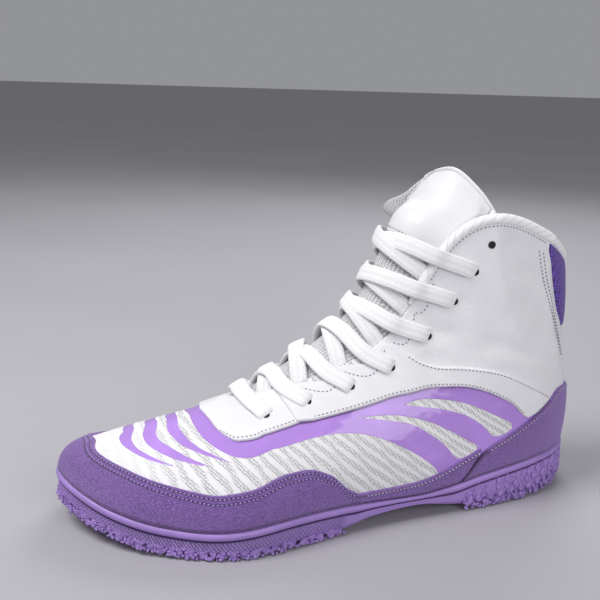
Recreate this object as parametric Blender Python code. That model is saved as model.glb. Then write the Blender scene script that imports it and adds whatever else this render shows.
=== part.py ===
"""Boxing shoe for the left foot, as separate pieces around one last.

X runs to the toe, Y to the outer (lateral) side and Z up.  The origin is on the floor under the middle
of the sole.  Sizes are in millimetres and become metres when a mesh is made.
"""

import math
from collections import namedtuple

import bmesh
import bpy
import numpy as np

MM = 0.001

# Driving sizes
GAP = 0.35
OVERLAY_GAP = 0.5
TAB_GAP = 0.6
CUSHION_GAP = 0.7
UPPER_WALL = 2.2
OVERLAY = 1.2
HEEL_CUSHION = 2.6
TONGUE_WALL = 3.6
INSOLE = 3.5
INSOLE_INSET = 6.0
BINDING_RADIUS = 2.5
LACE_WIDTH = 7.6
LACE_WALL = 1.5
LUG_HEIGHT = 3.0
LUG_TAPER = 1.7
RIB_DEPTH = 0.35

# Sections of the last from toe to heel.  x, lateral and medial place the edge of the sole, top_x, top_z, centre
# and gap place the vamp's ridge and then the edge of the throat and collar, rise and land are the wall's angles
# above the horizontal where it leaves the sole and where it reaches that edge.
Section = namedtuple("Section", "name x lateral medial top_x top_z centre gap rise land")
SECTIONS = (
    Section("toe_tip", 142.5, -16.0, -16.0, 112.0, 43.0, -14.0, 0.0, 86, 0),
    Section("toe_round", 137.0, 2.0, -31.5, 110.5, 43.4, -14.0, 0.0, 86, 0),
    Section("toe_side", 120.0, 24.0, -43.0, 104.0, 45.0, -13.0, 0.0, 88, 0),
    Section("toe_back", 95.0, 40.5, -50.5, 91.0, 47.8, -12.0, 0.0, 91, 0),
    Section("ball", 67.0, 50.5, -51.5, 74.0, 52.5, -10.0, 0.0, 92, 4),
    Section("joint", 40.0, 48.0, -46.0, 56.0, 60.0, -8.0, 0.0, 92, 14),
    Section("instep", 15.0, 42.5, -38.5, 28.0, 69.0, -6.0, 13.0, 92, 34),
    Section("waist", -10.0, 38.5, -33.5, 2.0, 79.0, -5.0, 16.0, 92, 46),
    Section("arch", -35.0, 36.5, -32.5, -20.0, 93.0, -4.0, 18.0, 92, 62),
    Section("shank", -60.0, 35.0, -34.5, -37.0, 118.0, -4.0, 21.0, 92, 80),
    Section("heel_side", -86.0, 32.5, -37.0, -51.0, 142.0, -4.0, 25.5, 94, 88),
    Section("heel_round", -113.0, 27.0, -35.5, -74.0, 154.0, -4.0, 31.0, 96, 92),
    Section("heel_corner", -133.5, 14.0, -24.0, -110.0, 142.0, -4.0, 26.0, 98, 95),
    Section("heel_back", -142.5, -5.0, -5.0, -134.0, 126.5, -4.0, 0.0, 99, 96),
)
LAST = len(SECTIONS) - 1
THROAT = 5.0
PULL = 0.38
THROAT_ROUNDING = ((0.0, 0.0), (0.2, 4.5), (0.5, 8.5))

# Height of the sole's rim and of its underside between the studs, from heel to toe.
SoleHeight = namedtuple("SoleHeight", "x rim base")
SOLE_HEIGHTS = (
    SoleHeight(-142.5, 23.5, 11.0),
    SoleHeight(-128.0, 24.0, 6.0),
    SoleHeight(-113.0, 23.5, 4.0),
    SoleHeight(-98.0, 22.0, 3.0),
    SoleHeight(-70.0, 18.5, 3.0),
    SoleHeight(-56.0, 15.8, 4.5),
    SoleHeight(-32.0, 13.2, 7.5),
    SoleHeight(-8.0, 14.0, 6.0),
    SoleHeight(10.0, 15.2, 3.0),
    SoleHeight(38.0, 15.9, 3.0),
    SoleHeight(80.0, 14.0, 3.0),
    SoleHeight(100.0, 15.2, 4.2),
    SoleHeight(122.0, 19.3, 8.2),
    SoleHeight(137.0, 24.3, 12.6),
    SoleHeight(142.5, 26.8, 15.0),
)


class ClosedSpline:
    """Smooth closed curve through evenly numbered values, one column for each quantity."""

    def __init__(self, values):
        self.values = np.asarray(values, float)
        count = len(self.values)
        system = np.zeros((count, count))
        right = np.zeros_like(self.values)
        for i in range(count):
            before, after = (i - 1) % count, (i + 1) % count
            system[i, before] += 1.0
            system[i, i] += 4.0
            system[i, after] += 1.0
            right[i] = 6.0 * (self.values[before] - 2.0 * self.values[i] + self.values[after])
        self.bend = np.linalg.solve(system, right)

    def __call__(self, u):
        u = np.asarray(u, float)
        count = len(self.values)
        i = np.floor(u).astype(int)
        t = (u - i)[..., None]
        a, b = i % count, (i + 1) % count
        s = 1.0 - t
        line = s * self.values[a] + t * self.values[b]
        return line + ((s**3 - s) * self.bend[a] + (t**3 - t) * self.bend[b]) / 6.0


def around(lateral_column, medial_column):
    """Values from the toe along the lateral side to the heel and back along the medial side."""
    lateral = [getattr(row, lateral_column) for row in SECTIONS]
    medial = [getattr(row, medial_column) for row in SECTIONS]
    return lateral + medial[-2:0:-1]


EDGE = ClosedSpline(np.column_stack([around("x", "x"), around("lateral", "medial")]))
TOP = ClosedSpline(np.column_stack([around(name, name) for name in ("top_x", "top_z", "centre", "rise", "land")]))


def table_value(x, rows, column):
    """Smooth curve through the rows of a table with rising x."""
    xs = np.array([row.x for row in rows])
    values = np.array([getattr(row, column) for row in rows])
    steps = np.diff(values) / np.diff(xs)
    slopes = np.zeros_like(values)
    before, after = steps[:-1], steps[1:]
    same = before * after > 0
    slopes[1:-1][same] = 2.0 * before[same] * after[same] / (before[same] + after[same])
    slopes[0], slopes[-1] = steps[0], steps[-1]
    x = np.clip(np.asarray(x, float), xs[0], xs[-1])
    i = np.clip(np.searchsorted(xs, x) - 1, 0, len(xs) - 2)
    width = xs[i + 1] - xs[i]
    t = (x - xs[i]) / width
    left = values[i] * (1 + 2 * t) * (1 - t) ** 2 + slopes[i] * width * t * (1 - t) ** 2
    return left + values[i + 1] * t**2 * (3 - 2 * t) + slopes[i + 1] * width * t**2 * (t - 1)


def loop_place(r, side):
    """Place on the closed loop of section r on the lateral (1) or medial (-1) side."""
    r = np.asarray(r, float)
    return r if side > 0 else 2 * LAST - r


def edge_point(r, side, inset=0.0):
    """Point in plan on the sole's edge, moved inwards, and the inward direction there."""
    u = loop_place(r, side)
    point = EDGE(u)
    step = 0.02
    along = EDGE(u + step) - EDGE(u - step)
    inward = np.stack([-along[..., 1], along[..., 0]], -1)
    inward /= np.linalg.norm(inward, axis=-1, keepdims=True)
    return point + inward * inset, inward


def throat_gap(r):
    """Half width of the throat and collar opening at section r."""
    rows = [(THROAT + away, half) for away, half in THROAT_ROUNDING]
    rows += [(i, row.gap) for i, row in enumerate(SECTIONS) if i > THROAT]
    return np.interp(r, [row[0] for row in rows], [row[1] for row in rows])


def top_point(r, side):
    """Point on the ridge, throat edge or collar edge, with the wall's rise and land angles in radians."""
    top_x, top_z, centre, rise, land = np.moveaxis(TOP(loop_place(r, side)), -1, 0)
    y = centre + side * throat_gap(r)
    return np.stack([top_x, y, top_z], -1), np.radians(rise), np.radians(land)


FEATHER_INSET = 1.4


def rim_height(r, side):
    """Height of the sole's rim at section r."""
    return table_value(edge_point(r, side)[0][..., 0], SOLE_HEIGHTS, "rim")


def wall(r, v, side):
    """Outer surface of the upper: section r, share v of the way from the sole up to the top edge."""
    r, v = np.broadcast_arrays(np.asarray(r, float), np.asarray(v, float))
    foot, inward = edge_point(r, side, FEATHER_INSET)
    start = np.concatenate([foot, (rim_height(r, side) + GAP)[..., None]], -1)
    end, rise, land = top_point(r, side)
    across = end - start
    reach = np.linalg.norm(across, axis=-1, keepdims=True) * PULL
    flat = across[..., :2] / np.maximum(np.linalg.norm(across[..., :2], axis=-1, keepdims=True), 1e-9)
    step = 0.02
    place = loop_place(np.maximum(r, 2 * step), side)
    ridge = TOP(place + step)[..., :2] - TOP(place - step)[..., :2]
    slope = ridge[..., 1] / np.where(np.abs(ridge[..., 0]) < 1e-9, 1e-9, ridge[..., 0])
    slope = np.clip(slope, -0.8, 0.0) * np.clip(THROAT + 1.0 - r, 0.0, 1.0)
    leave = np.concatenate([inward * np.cos(rise)[..., None], np.sin(rise)[..., None]], -1)
    arrive_z = np.sin(land) + np.cos(land) * flat[..., 0] * slope
    arrive = np.concatenate([flat * np.cos(land)[..., None], arrive_z[..., None]], -1)
    one, two = start + leave * reach, end - arrive * reach
    t = v[..., None]
    s = 1.0 - t
    return s**3 * start + 3 * s**2 * t * one + 3 * s * t**2 * two + t**3 * end


def wall_normal(r, v, side):
    """Unit direction out of the upper's outer surface."""
    r, v = np.broadcast_arrays(np.asarray(r, float), np.asarray(v, float))
    step = 0.01
    r_step = wall(np.clip(r + step, 0, LAST), v, side) - wall(np.clip(r - step, 0, LAST), v, side)
    v_step = wall(r, np.clip(v + step, 0, 1), side) - wall(r, np.clip(v - step, 0, 1), side)
    normal = np.cross(r_step, v_step) * side
    length = np.maximum(np.linalg.norm(normal, axis=-1, keepdims=True), 1e-9)
    return normal / length


def skin(r, v, side, out=0.0):
    """Point that lies out millimetres outside the upper's outer surface."""
    return wall(r, v, side) + wall_normal(r, v, side) * out


def clear_scene():
    for obj in list(bpy.data.objects):
        bpy.data.objects.remove(obj, do_unlink=True)


def mesh_object(name, bm):
    mesh = bpy.data.meshes.new(name)
    bm.to_mesh(mesh)
    bm.free()
    mesh.shade_smooth()
    obj = bpy.data.objects.new(name, mesh)
    bpy.context.collection.objects.link(obj)
    return obj


def add_grid(bm, points):
    """Quads between neighbouring rows and columns of points."""
    verts = [[bm.verts.new(p * MM) for p in row] for row in points]
    for low, high in zip(verts, verts[1:]):
        for a, b, c, d in zip(low, low[1:], high[1:], high):
            bm.faces.new((a, b, c, d))
    return verts


def solidify(obj, thickness, outwards):
    modifier = obj.modifiers.new("wall", "SOLIDIFY")
    modifier.thickness = thickness * MM
    modifier.offset = 1.0 if outwards else -1.0
    modifier.use_even_offset = True
    modifier.use_quality_normals = True


# Edges of the pieces laid on the upper: section r and the share v of the wall's height.
EdgeRow = namedtuple("EdgeRow", "r v")
GUARD_TOP = (
    EdgeRow(0.0, 0.71), EdgeRow(1.1, 0.57), EdgeRow(2.0, 0.45), EdgeRow(2.6, 0.36), EdgeRow(3.3, 0.28),
    EdgeRow(3.8, 0.24), EdgeRow(4.3, 0.24), EdgeRow(4.9, 0.28), EdgeRow(5.5, 0.31), EdgeRow(5.95, 0.25),
    EdgeRow(6.3, 0.12), EdgeRow(6.5, 0.05),
)
BAND_TOP = (EdgeRow(6.66, 0.07), EdgeRow(7.85, 0.08), EdgeRow(8.4, 0.09), EdgeRow(9.0, 0.11), EdgeRow(9.46, 0.12))
BAND_LOW = (EdgeRow(6.66, 0.0), EdgeRow(8.85, 0.0), EdgeRow(9.46, 0.1))
COUNTER_TOP = (
    EdgeRow(9.02, 0.02), EdgeRow(9.62, 0.108), EdgeRow(10.15, 0.133), EdgeRow(10.7, 0.165), EdgeRow(11.2, 0.208),
    EdgeRow(11.75, 0.27), EdgeRow(13.0, 0.3),
)
TAB_LOW = (EdgeRow(4.17, 0.72), EdgeRow(4.42, 0.59), EdgeRow(4.78, 0.57), EdgeRow(5.33, 0.63), EdgeRow(5.7, 0.675))
EYESTAY_LOW = (
    EdgeRow(5.76, 0.68), EdgeRow(7.5, 0.68), EdgeRow(8.33, 0.61), EdgeRow(9.08, 0.49), EdgeRow(9.73, 0.38),
    EdgeRow(10.28, 0.26), EdgeRow(10.6, 0.182), EdgeRow(11.2, 0.23),
)
EYESTAY_TOP = (
    EdgeRow(5.76, 1.0), EdgeRow(7.9, 1.0), EdgeRow(8.25, 0.86), EdgeRow(8.55, 0.74), EdgeRow(9.0, 0.62),
    EdgeRow(9.7, 0.5), EdgeRow(10.28, 0.41), EdgeRow(10.83, 0.305), EdgeRow(11.2, 0.25),
)
CUSHION_LOW = (
    EdgeRow(11.95, 0.96), EdgeRow(12.05, 0.9), EdgeRow(12.15, 0.8), EdgeRow(12.27, 0.7), EdgeRow(12.6, 0.64),
    EdgeRow(13.0, 0.62),
)

# Each pair of eyelets: section of the throat's edge beside it, the eyelet's own r and v, and the section where
# the lace crossing that ends here starts at the opposite edge.
EyeletRow = namedtuple("EyeletRow", "edge r v start")
EYELETS = (
    EyeletRow(5.2, 5.28, 0.76, None),
    EyeletRow(6.0, 6.08, 0.83, 5.56),
    EyeletRow(6.87, 6.95, 0.84, 6.17),
    EyeletRow(7.74, 7.88, 0.84, 6.97),
    EyeletRow(8.52, 8.95, 0.79, 7.84),
    EyeletRow(9.17, 9.88, 0.79, 8.62),
    EyeletRow(9.85, 10.5, 0.84, 9.27),
    EyeletRow(10.1, 10.88, 0.92, None),
)

# The tongue follows the throat's sections, then widens to its top edge, which leans back and turns to the outer side.
TONGUE_SECTIONS = (5.12, 5.35, 5.8, 6.4, 7.0, 7.6, 8.2, 8.8, 9.4, 9.9)
TongueEdge = namedtuple("TongueEdge", "name x y z")
TONGUE_TOP = (
    TongueEdge("medial_side", -36.5, -33.0, 151.5),
    TongueEdge("medial_corner", -38.0, -32.0, 157.0),
    TongueEdge("medial_shoulder", -44.0, -21.0, 163.0),
    TongueEdge("medial_crown", -54.0, -14.5, 173.0),
    TongueEdge("crown", -60.0, -8.0, 177.0),
    TongueEdge("lateral_crown", -63.5, 0.0, 177.2),
    TongueEdge("lateral_shoulder", -70.0, 9.5, 169.0),
    TongueEdge("lateral_corner", -75.0, 15.0, 161.5),
    TongueEdge("lateral_side", -79.0, 18.0, 154.5),
)
TONGUE_STEPS = (0.3, 0.58, 0.83, 1.0)
TONGUE_FLARE = 2.5
TONGUE_LEAN = 0.7
TONGUE_TUCK = (0.2, 0.1, 0.0)
TONGUE_FREE = (8.8, 9.9, 0.35)
TONGUE_LEAVE = (0.03, 0.07, 0.12)

# Sole wall from the rim down: inset from the sole's edge and depth below the rim where the wall is full height.
WallRow = namedtuple("WallRow", "name inset depth ribbed")
FULL_SIDE = 11.0
SOLE_WALL = (
    WallRow("seat", 0.9, 0.0, False),
    WallRow("bead_top", 0.0, 0.7, False),
    WallRow("bead_middle", -0.9, 2.1, False),
    WallRow("bead_low", -0.2, 3.9, False),
    WallRow("groove", 1.2, 4.7, False),
    WallRow("band_top", 0.0, 5.4, True),
    WallRow("band_low", 0.0, 9.4, True),
)
TREAD_EDGE_INSET = 1.0
RIBBED_TO = 6.3

# Studded fields of the underside: first and last x, how many rows of studs.
Field = namedtuple("Field", "first last rows studded")
FIELDS = (Field(127.0, 8.0, 12, True), Field(8.0, -60.0, 4, False), Field(-60.0, -133.0, 8, True))
FIELD_COLUMNS = 8
FIELD_INSET = 6.0


def edge_value(r, rows):
    return np.interp(r, [row.r for row in rows], [row.v for row in rows])


def sections_between(first, last, step=0.5):
    """Section numbers at whole steps between two ends, with the ends."""
    inner = np.arange(math.ceil(first / step), math.floor(last / step) + 1) * step
    inner = inner[(inner > first + 0.12) & (inner < last - 0.12)]
    return np.r_[first, inner, last]


TAB_SECTIONS = np.array([4.17, 4.42, 4.78, THROAT, THROAT + 0.2, THROAT + 0.5, 5.7])
TOE_SECTIONS = np.arange(0.0, 3.0, 0.25)
UPPER_SECTIONS = np.r_[TOE_SECTIONS, sections_between(3.0, 4.0), TAB_SECTIONS, sections_between(6.0, LAST)]
UPPER_ROWS = np.linspace(0.0, 1.0, 12)


def add_sides(bm, r, v, out):
    """The same patch on both sides, welded along the ridge."""
    for side in (1, -1):
        points = skin(r, v, side, out)
        add_grid(bm, points if side > 0 else points[:, ::-1])
    bmesh.ops.remove_doubles(bm, verts=bm.verts, dist=0.6 * MM)


def patch_rows(r, low, high, rows):
    """Grid of r and v between two edges."""
    share = np.linspace(0.0, 1.0, rows)[:, None]
    return np.broadcast_to(r, (rows, len(r))), low + (high - low) * share


def make_upper():
    bm = bmesh.new()
    r, v = np.meshgrid(UPPER_SECTIONS, UPPER_ROWS)
    add_sides(bm, r, v, 0.0)
    obj = mesh_object("upper", bm)
    solidify(obj, UPPER_WALL, False)
    return obj


def make_wrap(name, r, low, high, rows, at_toe, thickness=OVERLAY, gap=OVERLAY_GAP):
    """Piece that wraps the toe or the heel, in one strip from side to side."""
    r_grid, v_grid = patch_rows(r, low, high, rows)
    lateral, medial = skin(r_grid, v_grid, 1, gap), skin(r_grid, v_grid, -1, gap)
    if at_toe:
        points = np.concatenate([medial[:, :0:-1], lateral], 1)
    else:
        points = np.concatenate([lateral, medial[:, -2::-1]], 1)
    bm = bmesh.new()
    add_grid(bm, points)
    obj = mesh_object(name, bm)
    solidify(obj, thickness, True)
    return obj


def make_side_piece(name, side, r, low, high, rows):
    """Piece that lies on one side of the upper."""
    r_grid, v_grid = patch_rows(r, low, high, rows)
    points = skin(r_grid, v_grid, side, OVERLAY_GAP)
    bm = bmesh.new()
    add_grid(bm, points if side > 0 else points[:, ::-1])
    obj = mesh_object(name, bm)
    solidify(obj, OVERLAY, True)
    return obj


def make_overlays():
    r = np.r_[TOE_SECTIONS, sections_between(3.0, GUARD_TOP[-1].r)]
    made = [make_wrap("toe_guard", r, 0.0 * r, edge_value(r, GUARD_TOP), 8, True)]
    r = sections_between(COUNTER_TOP[0].r, LAST)
    made.append(make_wrap("heel_counter", r, 0.0 * r, edge_value(r, COUNTER_TOP), 4, False))
    r = np.array([row.r for row in CUSHION_LOW])
    low, high = edge_value(r, CUSHION_LOW), 0.995 + 0 * r
    made.append(make_wrap("heel_cushion", r, low, high, 6, False, HEEL_CUSHION, CUSHION_GAP))
    bm = bmesh.new()
    r = TAB_SECTIONS
    add_sides(bm, *patch_rows(r, edge_value(r, TAB_LOW), 1.0 + 0 * r, 6), TAB_GAP)
    tab = mesh_object("throat_tab", bm)
    solidify(tab, OVERLAY, True)
    made.append(tab)
    for side, word in ((1, "outer"), (-1, "inner")):
        r = sections_between(BAND_TOP[0].r, BAND_TOP[-1].r)
        low, high = edge_value(r, BAND_LOW), edge_value(r, BAND_TOP)
        made.append(make_side_piece("waist_band_" + word, side, r, low, high, 3))
        r = np.unique(np.r_[sections_between(EYESTAY_LOW[0].r, 7.9), 8.25, sections_between(8.5, EYESTAY_LOW[-1].r)])
        low, high = edge_value(r, EYESTAY_LOW), edge_value(r, EYESTAY_TOP)
        made.append(make_side_piece("eyestay_" + word, side, r, low, high, 6))
    return made


def edge_away(r, side):
    """Direction in the upper's surface that leaves the throat or collar edge squarely."""
    step = 0.02
    along = top_point(np.clip(r + step, THROAT, LAST), side)[0] - top_point(np.clip(r - step, THROAT, LAST), side)[0]
    away = np.cross(wall_normal(r, np.ones_like(r), side), along) * side
    return away / np.linalg.norm(away, axis=-1, keepdims=True)


PullRow = namedtuple("PullRow", "x pull")
BRIDGE_PULL = (
    PullRow(5.0, 1.0), PullRow(5.6, 1.6), PullRow(6.5, 2.0), PullRow(7.8, 2.2), PullRow(8.6, 2.0), PullRow(9.4, 1.95),
    PullRow(10.5, 2.05),
)


def bridge(r, share, out):
    """Surface across the throat from the medial (0) to the lateral (1) edge, out millimetres outside the upper."""
    r = np.asarray(r, float)
    ones = np.ones_like(r)
    medial, lateral = skin(r, ones, -1, out), skin(r, ones, 1, out)
    pull = table_value(r, BRIDGE_PULL, "pull")[..., None]
    reach = np.linalg.norm(lateral - medial, axis=-1, keepdims=True) * pull
    t = np.asarray(share, float)[..., None]
    s = 1.0 - t
    line = medial * (1 + 2 * t) * s**2 + lateral * t**2 * (3 - 2 * t)
    return line + edge_away(r, -1) * reach * t * s**2 + edge_away(r, 1) * reach * t**2 * s


def make_tongue():
    inside = -(UPPER_WALL + GAP + 0.3)
    rows = []
    first, last, left = TONGUE_FREE
    share, leave = np.array([0.25, 0.5, 0.75]), np.array(TONGUE_LEAVE)
    for r in TONGUE_SECTIONS:
        tuck = 1.0 - np.array(TONGUE_TUCK) * np.interp(r, (first, last), (1.0, left))
        medial = skin(r + 0 * tuck, tuck, -1, inside) if r < last else bridge(r + 0 * leave, leave, inside)
        lateral = skin(r + 0 * tuck, tuck, 1, inside)[::-1]
        rows.append(np.concatenate([medial, bridge(r + 0 * share, share, inside), lateral]))
    base = rows[-1]
    edge = np.array([(row.x, row.y, row.z) for row in TONGUE_TOP])
    for share in TONGUE_STEPS:
        rows.append(base + (edge - base) * (share**TONGUE_LEAN, share**TONGUE_FLARE, share))
    bm = bmesh.new()
    add_grid(bm, np.array(rows))
    obj = mesh_object("tongue", bm)
    solidify(obj, TONGUE_WALL, False)
    return obj


def ring_sections(step=0.5):
    """Sections round the whole sole: lateral from toe to heel, then medial back to the toe."""
    r = sections_between(0.0, LAST, step)
    return [(value, 1) for value in r] + [(value, -1) for value in r[-2:0:-1]]


def ring(bm, points):
    return [bm.verts.new(np.asarray(p) * MM) for p in points]


def join_rings(bm, upper, lower):
    count = len(upper)
    for i in range(count):
        k = (i + 1) % count
        bm.faces.new((upper[i], upper[k], lower[k], lower[i]))


def ladder(bm, loop, upwards):
    """Closes a ring with rungs from its lateral to its medial side."""
    half = len(loop) // 2
    for i in range(half):
        near, far = (-i) % len(loop), -(i + 1) % len(loop)
        corners = [loop[i], loop[i + 1], loop[far], loop[near]]
        corners = [c for n, c in enumerate(corners) if c not in corners[:n]]
        bm.faces.new(corners if upwards else corners[::-1])


def make_insole():
    bm = bmesh.new()
    loops = []
    for lift in (GAP + INSOLE, GAP):
        points = []
        for r, side in ring_sections():
            foot = edge_point(r, side, INSOLE_INSET)[0]
            points.append((foot[0], foot[1], rim_height(r, side) + lift))
        loops.append(ring(bm, points))
    ladder(bm, loops[0], True)
    join_rings(bm, loops[0], loops[1])
    ladder(bm, loops[1], False)
    bmesh.ops.recalc_face_normals(bm, faces=bm.faces)
    return mesh_object("insole", bm)


def sole_sections():
    """Close steps where the side is ribbed, wider ones along the waist and heel."""
    ribbed = np.linspace(0.0, RIBBED_TO, 43)
    plain = np.linspace(RIBBED_TO, LAST, 27)[1:]
    r = np.r_[ribbed, plain]
    return [(value, 1) for value in r] + [(value, -1) for value in r[-2:0:-1]]


def sole_side_point(r, side, index, row):
    bump = RIB_DEPTH if row.ribbed and r < RIBBED_TO and index % 2 else 0.0
    edge = edge_point(r, side)[0]
    rim = rim_height(r, side)
    height = rim - table_value(edge[0], SOLE_HEIGHTS, "base")
    foot = edge_point(r, side, row.inset + bump)[0]
    return foot[0], foot[1], rim - row.depth * min(1.0, height / FULL_SIDE)


def outline_at(x, side, inset):
    """Sideways place of the sole's inset edge at a given x."""
    r = np.linspace(0.0, LAST, 400)
    points = edge_point(r, side, inset)[0]
    order = np.argsort(points[:, 0])
    return np.interp(x, points[order, 0], points[order, 1])


def make_outsole():
    bm = bmesh.new()
    stations = sole_sections()
    loops = [
        ring(bm, [sole_side_point(r, side, i, row) for i, (r, side) in enumerate(stations)]) for row in SOLE_WALL
    ]
    tread = []
    for r, side in stations:
        foot = edge_point(r, side, TREAD_EDGE_INSET)[0]
        tread.append((foot[0], foot[1], table_value(foot[0], SOLE_HEIGHTS, "base")))
    loops.append(ring(bm, tread))
    ladder(bm, loops[0], True)
    for upper, lower in zip(loops, loops[1:]):
        join_rings(bm, upper, lower)
    xs = [FIELDS[0].first]
    studded = []
    for field in FIELDS:
        xs += list(np.linspace(field.first, field.last, field.rows + 1)[1:])
        studded += [field.studded] * field.rows
    points = []
    for x in xs:
        y = np.linspace(outline_at(x, 1, FIELD_INSET), outline_at(x, -1, FIELD_INSET), FIELD_COLUMNS + 1)
        z = table_value(x, SOLE_HEIGHTS, "base")
        points.append(np.column_stack([np.full_like(y, x), y, np.full_like(y, z)]))
    grid = add_grid(bm, np.array(points))
    rim = grid[0] + [row[-1] for row in grid[1:]] + grid[-1][-2::-1] + [row[0] for row in grid[-2:0:-1]]
    edges = [bm.edges.get((loops[-1][i], loops[-1][i - 1])) for i in range(len(loops[-1]))]
    edges += [bm.edges.get((rim[i], rim[i - 1])) for i in range(len(rim))]
    bmesh.ops.triangle_fill(bm, edges=edges, use_beauty=True, normal=(0.0, 0.0, -1.0))
    bmesh.ops.recalc_face_normals(bm, faces=bm.faces)
    cells = []
    for line, (low, high) in zip(studded, zip(grid, grid[1:])):
        for a, b in zip(low, low[1:]):
            face = next(f for f in a.link_faces if b in f.verts and high[low.index(a)] in f.verts)
            if line:
                cells.append(face)
    bmesh.ops.inset_individual(bm, faces=cells, thickness=LUG_TAPER * MM, depth=LUG_HEIGHT * MM)
    for vert in bm.verts:
        if abs(vert.co.z) < 0.02 * MM:
            vert.co.z = 0.0
    return mesh_object("outsole", bm)


def lace_point(edge, across, out):
    """Point of the lacing: across runs from the medial (-1) to the lateral (1) eyelet of the row at this edge."""
    if abs(across) <= 0.5:
        return bridge(np.array([edge]), np.array([across + 0.5]), out)[0]
    side = 1 if across > 0 else -1
    share = (abs(across) - 0.5) / 0.5
    lowered = np.interp(edge, SHAFT_LACING, (0.0, 1.0)) * share
    out = out + (LACE_GAP - out) * lowered
    edges = [row.edge for row in EYELETS]
    r = edge + share * (np.interp(edge, edges, [row.r for row in EYELETS]) - edge)
    v = 1.0 + share * (np.interp(edge, edges, [row.v for row in EYELETS]) - 1.0)
    return skin(np.array([r]), np.array([v]), side, out)[0]


LACE_GAP = 0.45
LACE_OUT = OVERLAY + OVERLAY_GAP + LACE_GAP
BINDING_FROM = 10.1
SECTION_LENGTH = 28.0
LACE_SEGMENTS = 6
LACE_END = 0.43
LACE_SLANT = 1.1
BAR_LIFT = 0.2
SHAFT_LACING = (8.05, 8.35)


def lace_grid(bm, start, end, segments, out=LACE_OUT):
    """Strip between two pairs of corners, each given as edge section and place across."""
    start, end = np.array(start), np.array(end)
    rows = []
    for share in np.linspace(0.0, 1.0, segments + 1):
        pair = start + (end - start) * share
        rows.append([lace_point(edge, across, out) for edge, across in pair])
    return add_grid(bm, np.array(rows))


def make_laces():
    made = []
    half = 0.5 * LACE_WIDTH / SECTION_LENGTH
    bm = bmesh.new()
    row = EYELETS[0].edge
    lace_grid(bm, ((row - half, -1.0), (row + half, -1.0)), ((row - half, 1.0), (row + half, 1.0)), 14, LACE_OUT + BAR_LIFT)
    made.append(("lace_bar", bm))
    for number in range(1, 7):
        low, high = EYELETS[number].start, EYELETS[number].edge
        tilt = (high - low) / (1.0 + LACE_END)
        middle = high - tilt
        wide = half * LACE_SLANT
        bm = bmesh.new()
        side = wide / tilt
        centre = {"top": (middle + wide, 0.0), "low": (middle - wide, 0.0)}
        centre["lateral"], centre["medial"] = (middle, side), (middle, -side)
        corners = [centre[name] for name in ("low", "lateral", "top", "medial")]
        bm.faces.new([bm.verts.new(lace_point(e, a, LACE_OUT) * MM) for e, a in corners])
        for sign, name in ((1, "lateral"), (-1, "medial")):
            up = ((high - wide, sign), (high + wide, sign))
            down_middle = middle - tilt * LACE_END
            down = ((down_middle - wide, sign * LACE_END), (down_middle + wide, sign * LACE_END))
            lace_grid(bm, (centre[name], centre["top"]), up, LACE_SEGMENTS)
            lace_grid(bm, (centre["low"], centre[name]), down, 3)
        bmesh.ops.remove_doubles(bm, verts=bm.verts, dist=0.3 * MM)
        made.append(("lace_crossing_%d" % number, bm))
    objects = []
    for name, bm in made:
        bmesh.ops.recalc_face_normals(bm, faces=bm.faces)
        bm.normal_update()
        outwards = sum(f.normal.x + f.normal.z for f in bm.faces)
        if outwards < 0:
            bmesh.ops.reverse_faces(bm, faces=bm.faces)
        obj = mesh_object(name, bm)
        solidify(obj, LACE_WALL, True)
        objects.append(obj)
    return objects


BINDING_SIDES = 8
BINDING_CLEAR = 0.15


def make_binding():
    r = sections_between(BINDING_FROM, LAST)
    places = [(value, 1) for value in r] + [(value, -1) for value in r[-2::-1]]
    bm = bmesh.new()
    loops = []
    for value, side in places:
        one = np.array([value])
        away = edge_away(one, side)[0]
        normal = wall_normal(one, np.ones(1), side)[0]
        middle = wall(one, np.ones(1), side)[0] - normal * UPPER_WALL / 2
        middle = middle + away * (BINDING_RADIUS + GAP + BINDING_CLEAR)
        turns = np.arange(BINDING_SIDES) * 2 * math.pi / BINDING_SIDES
        loops.append(ring(bm, [middle + BINDING_RADIUS * (away * math.cos(t) + normal * math.sin(t)) for t in turns]))
    for one, two in zip(loops, loops[1:]):
        join_rings(bm, one, two)
    bm.faces.new(loops[0][::-1])
    bm.faces.new(loops[-1])
    bmesh.ops.recalc_face_normals(bm, faces=bm.faces)
    return mesh_object("collar_binding", bm)


Finish = namedtuple("Finish", "red green blue roughness")
FINISHES = {
    "outsole": Finish(0.33, 0.21, 0.62, 0.6),
    "insole": Finish(0.75, 0.74, 0.77, 0.9),
    "upper": Finish(0.8, 0.79, 0.82, 0.6),
    "toe_guard": Finish(0.19, 0.1, 0.4, 0.95),
    "heel_counter": Finish(0.19, 0.1, 0.4, 0.95),
    "waist_band_outer": Finish(0.19, 0.1, 0.4, 0.95),
    "waist_band_inner": Finish(0.19, 0.1, 0.4, 0.95),
    "heel_cushion": Finish(0.16, 0.08, 0.42, 0.9),
}
WHITE_LEATHER = Finish(0.82, 0.81, 0.84, 0.5)


def give_finish(obj):
    finish = FINISHES.get(obj.name, WHITE_LEATHER)
    material = bpy.data.materials.new(obj.name)
    material.use_nodes = True
    shader = material.node_tree.nodes["Principled BSDF"]
    shader.inputs["Base Color"].default_value = (finish.red, finish.green, finish.blue, 1.0)
    shader.inputs["Roughness"].default_value = finish.roughness
    obj.data.materials.append(material)


def main():
    clear_scene()
    pieces = [make_outsole(), make_insole(), make_upper()]
    pieces += make_overlays()
    pieces.append(make_tongue())
    pieces += make_laces()
    pieces.append(make_binding())
    for piece in pieces:
        give_finish(piece)


main()
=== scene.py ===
"""Finished surfaces of a high-top boxing shoe: sole, upper, guards, tongue, lacing and stitching.

Sizes in the tables are in millimetres.  X runs to the toe, Y to the outer side of the left foot and Z up.
"""
import math
from collections import namedtuple

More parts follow.
